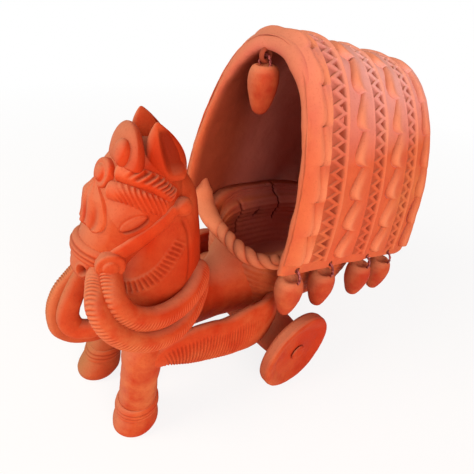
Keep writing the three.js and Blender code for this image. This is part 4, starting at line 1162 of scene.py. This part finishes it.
class CART_OT_canopy(bpy.types.Operator):
    """Arched canopy shell pierced for the loops, its crown lug and the back panel"""

    bl_idname = "cart.canopy"
    bl_label = "Canopy"

    def shell(self, sizes):
        """Arch grid that runs back along the outside, round the rear edge, forward along the inside and round
        the mouth. The rear corners of the hem are rounded off, and painted shade darkens the inside, deepest
        near the mouth."""
        edge, corner, across, length = 3, 12, 320, 125
        lip = np.linspace(0, np.pi, 12)[1:-1]
        flat = np.linspace(edge, CANOPY_LONG - edge, length)
        bend = edge * np.sin(lip)
        behind = np.concatenate([flat, CANOPY_LONG - edge + bend, flat[::-1], edge - bend])
        level = np.concatenate([np.ones(length), np.cos(lip), -np.ones(length), -np.cos(lip)])
        s = behind / CANOPY_LONG
        near_rear = np.clip((behind - CANOPY_LONG + corner) / corner, 0, 1)
        foot = 6.5 * (1 - np.sqrt(1 - near_rear ** 2))
        turn = np.stack([even_angles(k, f, across) for k, f in zip(s, foot)], 1)
        hem = rounded_end(across, 0.008)[:, None]
        p = arch(s[None], turn, SHELL / 2 + SHELL / 2 * level[None] * hem)
        relief = hand(p, sizes.wobble * 1.4, 97) + 0.5 * lattice(p, 13, 101)
        # Painted shade on the inside of the shell, deepest near the mouth.
        deep = 0.9 - 0.4 * ramp(behind, 15, 60)
        painted_shade = -(deep * ramp(-level, 0.2, 0.9) * ramp(behind, 1, 8))[None] + 0 * turn
        return surface(push(p, relief), painted_shade)

    def pierce(self, shell):
        """Cuts a round hole across the hem for the loop of each side bell."""
        drill = lathe([[0, -7], [HOLE_R, -7], [HOLE_R, 7], [0, 7]], 24, 60)
        holes = [surface(stand(drill, loop_of(bell)[0], ASIDE)) for bell in BELLS[1:]]
        cutter = bpy.data.objects.new("drill", clay_mesh("drill", join(*holes)))
        bpy.context.collection.objects.link(cutter)
        cut = shell.modifiers.new("holes", "BOOLEAN")
        cut.operation, cut.solver, cut.object = "DIFFERENCE", "MANIFOLD", cutter
        whole = shell.data
        pierced = shell.evaluated_get(bpy.context.evaluated_depsgraph_get())
        shell.data = bpy.data.meshes.new_from_object(pierced)
        shell.modifiers.clear()
        bpy.data.objects.remove(cutter)
        if len(shell.data.vertices) <= len(whole.vertices):
            raise RuntimeError("the hem was not pierced")
        bpy.data.meshes.remove(whole)

    def lug(self):
        """Small ring under the crown of the mouth, for the loop of the front bell: an ellipse carried round
        a circle."""
        turn = circle(60)
        out = np.stack([0 * turn, np.cos(turn), np.sin(turn)], -1)
        path = loop_of(BELLS[0])[0] + 0.2 * UP + 3.2 * out
        side = circle(24)[:, None]
        p = path[:, None] + 1.1 * np.cos(side) * out[:, None] + 1.6 * np.sin(side) * ASIDE
        # Painted shade over the whole ring.
        return surface(p, np.full(p.shape[:2], -0.9), wrap=True)

    def panel(self, sizes):
        """Back panel: two faces that fill the arch, a wall's thickness apart, with painted shade on the
        inside. Each runs across between the sides of a superellipse a little larger than the arch's inside."""
        rise = np.linspace(0.0, 1, 130)[:, None]
        rear = 1 - 5 / CANOPY_LONG
        count = 140
        across = np.concatenate([np.linspace(1, -1, count), np.linspace(-1, 1, count)])[None]
        inner = (np.arange(2 * count) < count)[None]
        s = np.where(inner, rear - SHELL / CANOPY_LONG, rear)
        height = rise * (between("rise", s) + 1.0)
        power = between("power", s)
        x = (between("half", s) + 1.0) * (1 - np.clip(rise, 0, 0.9999) ** power) ** (1 / power) * across
        lean = np.radians(between("rake", s))
        back, up = between("y", s) + height * np.sin(lean), between("hem", s) + height * np.cos(lean)
        p = np.stack([x, back, up], -1)
        uneven = hand(p, sizes.wobble * 1.4, 103) * ramp(1 - np.abs(across), 0, 0.05)
        p[..., 1] += uneven * ramp(1 - rise, 0, 0.04)
        # Painted shade on the inner face.
        return surface(p, np.where(inner, -0.5, 0.0) + 0 * x)

    def execute(self, context):
        sizes = context.scene.cart_sizes
        self.pierce(place("canopy_shell", self.shell(sizes), "canopy_clay"))
        place("canopy_shell", self.lug(), "canopy_clay", name="crown_lug_clay")
        place("canopy_back_panel", self.panel(sizes), "canopy_clay")
        return {"FINISHED"}


class CART_OT_canopy_strips(bpy.types.Operator):
    """Scalloped trims and zigzag-stamped bands laid over the canopy"""

    bl_idname = "cart.canopy_strips"
    bl_label = "Canopy strips"

    # Distances behind the mouth of the front and rear edges, and each band's stamped width.
    bands = ((13.1, 34.6, 13.5), (44.05, 78.05, 12), (87.5, 119.5, 10.5))
    trims = {"front": (0.0, 12.8), "rear": (131, 141.8)}
    petal_deep = 8.0
    trim_wave = 3.0
    sink = 0.9  # how far the underside lies inside the shell
    band_high, trim_high = 2.2, 3.5
    field_gap = 3.2  # from the rear edge to the stamped field
    rows = 900
    stations = 12  # from mouth to back, at which the points are spaced evenly over the arch

    def strip(self, edge, rear, profile, sides):
        """Closed strip over the arch, and its painted light. Edge and rear are distances behind the mouth,
        and profile gives the rise and the painted light from the distances to both."""
        wide = (rear - edge)[:, None]
        share = np.concatenate([np.linspace(0, 1, sides), np.linspace(1, 0, 12)[1:-1]])
        upper = np.arange(len(share)) < sides
        rise, press = profile(wide * share, wide * (1 - share))
        lift = np.where(upper, rise, -self.sink)
        s = (edge[:, None] + wide * share) / CANOPY_LONG
        places = np.linspace(0, 1, self.stations)
        angle = np.stack([even_angles(k, STRIP_FOOT, self.rows) for k in places], 1)
        spot = np.clip(s, 0, 1) * (self.stations - 1)
        low = np.clip(np.floor(spot).astype(int), 0, self.stations - 2)
        row = np.arange(self.rows)[:, None]
        turn = angle[row, low] * (1 - (spot - low)) + angle[row, low + 1] * (spot - low)
        end = rounded_end(self.rows, 0.006)[:, None]
        return arch(s, turn, SHELL + (lift + self.sink) * end - self.sink), np.where(upper, press, 0)

    def rounded(self, gap, radius):
        """Share of full height beside an edge: a quarter circle of the given radius."""
        return np.sqrt(1 - (1 - np.clip(gap / radius, 0, 1)) ** 2)

    def band(self, front, rear, field, hangs, petal, zigzag, sizes):
        """Petals along the front, two rows of triangular notches with a raised zigzag between them, and a
        ridge along the rear."""
        petals = petal[:, None]

        def profile(ahead, behind):
            lumps = (0.9 if hangs else 0.3) * petals * hump(ahead - 4.0, 4.0)
            inside = behind - self.field_gap
            line = field * (0.4 + 0.3 * zigzag)
            rear_row = ramp(line - inside, 1.9, 3.6) * ramp(inside, 0, 0.5)
            front_row = ramp(inside - line, 1.9, 3.6) * ramp(field - inside, 0, 0.7)
            stamp = rear_row * (1.25 - 0.5 * inside / field) + 0.65 * front_row
            ridge = hump(behind - 1.7, 1.5)
            seam = hump(inside - field - 0.8, 0.8)
            top = self.band_high + lumps + 1.3 * ridge + 0.3 * seam - sizes.stamp_depth * stamp
            rise = (top + self.sink) * self.rounded(ahead, 3.2) * self.rounded(behind, 1.5) - self.sink
            # Painted highlight on the petals and the rear ridge, painted shade in the notches.
            pale = 0.8 * petals * hump(ahead - 3.5, 4.5) + 0.35 * ridge
            return rise, pale - 0.95 * rear_row - 0.5 * front_row

        edge = front + (self.petal_deep if hangs else -self.trim_wave) * (1 - petal)
        return self.strip(edge, np.full(self.rows, rear), profile, 84)

    def trim(self, front, rear, forward, petal):
        """Smooth strip with a steep wavy edge that swells a little over each place pressed by the thumb."""
        petals, wave = petal[:, None], self.trim_wave * (1 - petal)

        def profile(ahead, behind):
            wavy, plain = (behind, ahead) if forward else (ahead, behind)
            swell = 0.8 * petals * hump(wavy - 4, 3.5)
            end = self.rounded(wavy, 2.0) * (ramp(plain, -1, 8) if forward else self.rounded(plain, 2.0))
            # Painted highlight over the swells of the wavy edge, and a little over the whole strip.
            press = (0.45 * petals * hump(wavy - 3, 3) + 0.1) * end
            return (self.trim_high + swell) * end - self.sink, press

        front, rear = np.full(self.rows, front), np.full(self.rows, rear)
        return self.strip(front + (0 if forward else wave), rear - (wave if forward else 0), profile, 46)

    def execute(self, context):
        sizes = context.scene.cart_sizes
        along = np.linspace(0, 1, self.rows)
        petal = np.sin(np.pi * np.sqrt((sizes.scallops * np.minimum(along, 1 - along)) % 1))
        zigzag = (2 * np.abs(2 * ((sizes.zigzags * along) % 1) - 1) - 1)[:, None]
        for number, form in enumerate(self.bands, 1):
            p, press = self.band(*form, number > 1, petal, zigzag, sizes)
            p = push(p, hand(p, sizes.wobble, 107 + number))
            place(f"canopy_band_{number}", surface(p, press), "canopy_clay")
        for name, form in self.trims.items():
            p, press = self.trim(*form, name == "front", petal)
            p = push(p, hand(p, sizes.wobble, 113))
            place(f"canopy_trim_{name}", surface(p, press), "canopy_clay")
        return {"FINISHED"}


class CART_OT_bells(bpy.types.Operator):
    """Clay bells with dished tops, each on a loop of twisted wire through its pierced hole"""

    bl_idname = "cart.bells"
    bl_label = "Bells and loops"

    foot = [[0, 0], [2.4, 0.3], [4.2, 1.8]]  # radius, height
    flank = [  # radius, share of the bell's height
        [5.7, 0.17], [7.3, 0.33], [8.5, 0.5], [9, 0.66], [8.9, 0.77], [8.3, 0.88], [7.0, 0.96], [5.4, 0.995]]
    dish = [[4.0, 0.5], [2.6, 1.4], [1.4, 2.0], [0, 2.2]]  # radius, depth below the top
    top_rise = 3.9  # height of the bell's top above the lowest middle of the wire
    strand, lobe = 0.52, 0.38  # radius between the wire's lobes, and how far they stand out

    def drop(self, hole, radius, tall, sizes, seed):
        """Bell below its hole: a turned drop with a dished top."""
        low = LOOP_RIDE - 2 * radius + self.top_rise - tall
        flank = [[r, tall * share] for r, share in self.flank]
        dish = [[r, tall - deep] for r, deep in self.dish]
        p = lathe(self.foot + flank + dish, 72, 110) + hole + [0, 0, low]
        # Painted highlight on the top of the bell.
        painted_top_highlight = ramp(p[..., 2], hole[2] + low + tall * 0.8, hole[2] + low + tall)
        return surface(push(p, hand(p, sizes.wobble * 0.9, seed)), 0.3 * painted_top_highlight)

    def loop(self, hole, radius, sizes):
        """Ring of wire whose two-lobed section twists as it goes round."""
        turn, side = circle(220), circle(20)
        out = np.stack([np.cos(turn), 0 * turn, np.sin(turn)], -1)
        path = hole + [0, 0, LOOP_RIDE - radius] + radius * out
        lobes = self.strand + self.lobe * np.abs(np.cos(side[None] + 0.5 * sizes.twists * turn[:, None]))
        section = np.cos(side)[:, None] * out[:, None] + np.sin(side)[:, None] * ALONG
        return surface(path[:, None] + lobes[..., None] * section, wrap=True)

    def execute(self, context):
        sizes = context.scene.cart_sizes
        for number, bell in enumerate(BELLS):
            hole, radius = loop_of(bell)
            low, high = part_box(bell)
            part = self.drop(hole, radius, (high.z - low.z) / MM, sizes, 127 + number)
            place(bell, part, "bell_clay", bell)
            place(f"{bell}_loop", self.loop(hole, radius, sizes), "loop_wire", bell, f"{bell}_loop_wire")
        return {"FINISHED"}


class CART_OT_finishes(bpy.types.Operator):
    """Fired clay and wire finishes"""

    bl_idname = "cart.finishes"
    bl_label = "Finishes"

    fired = {  # sheen, painted crown highlight, painted inside shade, painted warm light on the right side
        "horse": (0.13, 0.0, 0.0, 0.7), "harness": (0.13, 0.0, 0.0, 0.7), "tub": (0.13, 0.0, 0.85, 0.0),
        "wheel": (0.13, 0.0, 0.0, 0.0), "canopy": (0.2, 0.85, 0.85, 0.0), "bell": (0.13, 0.0, 0.0, 0.0)}

    def execute(self, context):
        clay = context.scene.cart_clay
        for name, shares in self.fired.items():
            clay_finish(f"{name} clay", tuple(getattr(clay, name)), tuple(clay.warm), *shares)
        wire_finish("loop wire", tuple(clay.wire))
        return {"FINISHED"}


class CART_OT_stage(bpy.types.Operator):
    """Pale floor, soft lamps, even sky and the camera"""

    bl_idname = "cart.stage"
    bl_label = "Stage"

    lamps = {  # side of the square, place in metres, colour
        "key": (0.6, (-0.35, -0.85, 0.95), (1.0, 0.87, 0.68)),
        "fill": (0.9, (1.0, -0.35, 0.55), (1.0, 0.80, 0.70)),
        "mouth": (0.5, (-0.30, -1.10, 0.60), (1.0, 0.80, 0.70))}
    lamp_aim = (0, 0, 0.1)
    floor_half = 60
    floor_drop = 0.0004  # keeps the floor clear of the soles
    floor_shows = (0.85, 1)  # share of the floor that is plain white to the eye, near the cart and far off
    white = (1, 1, 1, 1)
    sky_colour = (1.0, 0.94, 0.96, 1)
    eye = (157.8, -145.1, 248.0)  # the camera, in millimetres, with its back and right directions
    eye_back = (0.601, -0.552, 0.578)
    eye_right = (0.626, 0.775, 0.090)
    sensor = 36
    focal = 379 / 474  # of the picture's width

    def seen(self, tree):
        """One for rays that show the background: straight from the camera, by gloss or through glass."""
        path = linked(tree, "LightPath").outputs
        either = path["Is Camera Ray"]
        for ray in ("Is Glossy Ray", "Is Transmission Ray"):
            either = linked(tree, "Math", {0: either, 1: path[ray]}, operation="MAXIMUM").outputs[0]
        return either

    def face(self, name, data, at, back, right):
        """Puts a lamp or camera at a point, with its back and right sides along the given directions."""
        made = bpy.data.objects.new(name, data)
        bpy.context.collection.objects.link(made)
        turn = np.eye(4)
        turn[:3] = np.stack([right, np.cross(back, right), back, at], -1)
        made.matrix_world = Matrix(turn)
        return made

    def floor(self, pale):
        """Pale paper that takes shadows, plain white to the eye further off."""
        mesh = bpy.data.meshes.new("studio_floor")
        corners = self.floor_half * np.array([[-1, -1, 0], [1, -1, 0], [1, 1, 0], [-1, 1, 0]])
        mesh.from_pydata(corners.tolist(), [], [(0, 1, 2, 3)])
        floor = bpy.data.objects.new("studio_floor", mesh)
        bpy.context.collection.objects.link(floor)
        floor.location.z = -self.floor_drop
        paper = bpy.data.materials.new("studio paper")
        tree = blank(paper)
        matt = linked(tree, "BsdfDiffuse", {"Color": (*pale, 1)}).outputs[0]
        glow = linked(tree, "Emission", {"Color": self.white, "Strength": 1.0}).outputs[0]
        coords = linked(tree, "TexCoord").outputs["Object"]
        far = linked(tree, "VectorMath", {0: coords}, operation="LENGTH").outputs["Value"]
        share = product(tree, self.seen(tree), span(tree, far, 0.2, 0.8, *self.floor_shows))
        both = linked(tree, "MixShader", {0: share, 1: matt, 2: glow}).outputs[0]
        linked(tree, "OutputMaterial", {"Surface": both})
        mesh.materials.append(paper)

    def sky(self, scene, strength):
        """Even soft light, plain white to the eye."""
        scene.world = bpy.data.worlds.new("studio sky")
        tree = blank(scene.world)
        soft = linked(tree, "Background", {"Color": self.sky_colour, "Strength": strength}).outputs[0]
        plain = linked(tree, "Background", {"Color": self.white, "Strength": 1.0}).outputs[0]
        both = linked(tree, "MixShader", {0: self.seen(tree), 1: soft, 2: plain}).outputs[0]
        linked(tree, "OutputWorld", {"Surface": both})

    def lamp(self, key, power, size, at, tone):
        """Square lamp that points at the middle of the cart."""
        light = bpy.data.lights.new(f"{key} lamp", "AREA")
        light.energy, light.size, light.color = power, size, tone
        back = unit(np.array(at, float) - self.lamp_aim)
        self.face(f"{key} lamp", light, at, back, unit(np.cross([0, 0.05, 1], back)))

    def camera(self, scene):
        """Camera with the place, turn and lens that were fitted to the photograph."""
        camera = bpy.data.cameras.new("photo camera")
        camera.sensor_width = self.sensor
        camera.lens = self.sensor * self.focal
        camera.clip_start = 0.01
        back, right = unit(np.array(self.eye_back)), unit(np.array(self.eye_right))
        right = unit(right - right @ back * back)
        scene.camera = self.face("photo camera", camera, (np.array(self.eye) + SHIFT) * MM, back, right)

    def execute(self, context):
        scene = context.scene
        scene.view_settings.view_transform = "Standard"
        self.floor(scene.cart_clay.floor)
        self.sky(scene, scene.cart_studio.sky)
        for key, form in self.lamps.items():
            self.lamp(key, getattr(scene.cart_studio, key), *form)
        self.camera(scene)
        return {"FINISHED"}


class CART_PT_sidebar(bpy.types.Panel):
    """Sidebar list of the cart's settings and makers"""

    bl_idname = "CART_PT_sidebar"
    bl_label = "Horse cart"
    bl_space_type = "VIEW_3D"
    bl_region_type = "UI"
    bl_category = "Horse cart"

    def draw(self, context):
        for group in (context.scene.cart_clay, context.scene.cart_sizes, context.scene.cart_studio):
            box = self.layout.box()
            for key in group.__annotations__:
                box.prop(group, key)
        for maker in MAKERS:
            self.layout.operator(maker.bl_idname)


SETTINGS = (("cart_clay", ClayColours), ("cart_sizes", OrnamentSizes), ("cart_studio", StudioLight))
MAKERS = (CART_OT_finishes, CART_OT_horse_body, CART_OT_horse_head, CART_OT_face_harness,
          CART_OT_crest_and_ears, CART_OT_legs, CART_OT_reins_and_shafts, CART_OT_tub,
          CART_OT_running_gear, CART_OT_canopy, CART_OT_canopy_strips, CART_OT_bells, CART_OT_stage)


def register():
    """Registers the settings, the makers and the panel."""
    for key, group in SETTINGS:
        bpy.utils.register_class(group)
        setattr(bpy.types.Scene, key, bpy.props.PointerProperty(type=group))
    for maker in (*MAKERS, CART_PT_sidebar):
        bpy.utils.register_class(maker)


def unregister():
    """Takes back what register did, last first."""
    for maker in reversed((*MAKERS, CART_PT_sidebar)):
        bpy.utils.unregister_class(maker)
    for key, group in reversed(SETTINGS):
        delattr(bpy.types.Scene, key)
        bpy.utils.unregister_class(group)


def main():
    """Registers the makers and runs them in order."""
    register()
    for maker in MAKERS:
        group, name = maker.bl_idname.split(".")
        getattr(getattr(bpy.ops, group), name)()


if __name__ == "__main__":
    main()
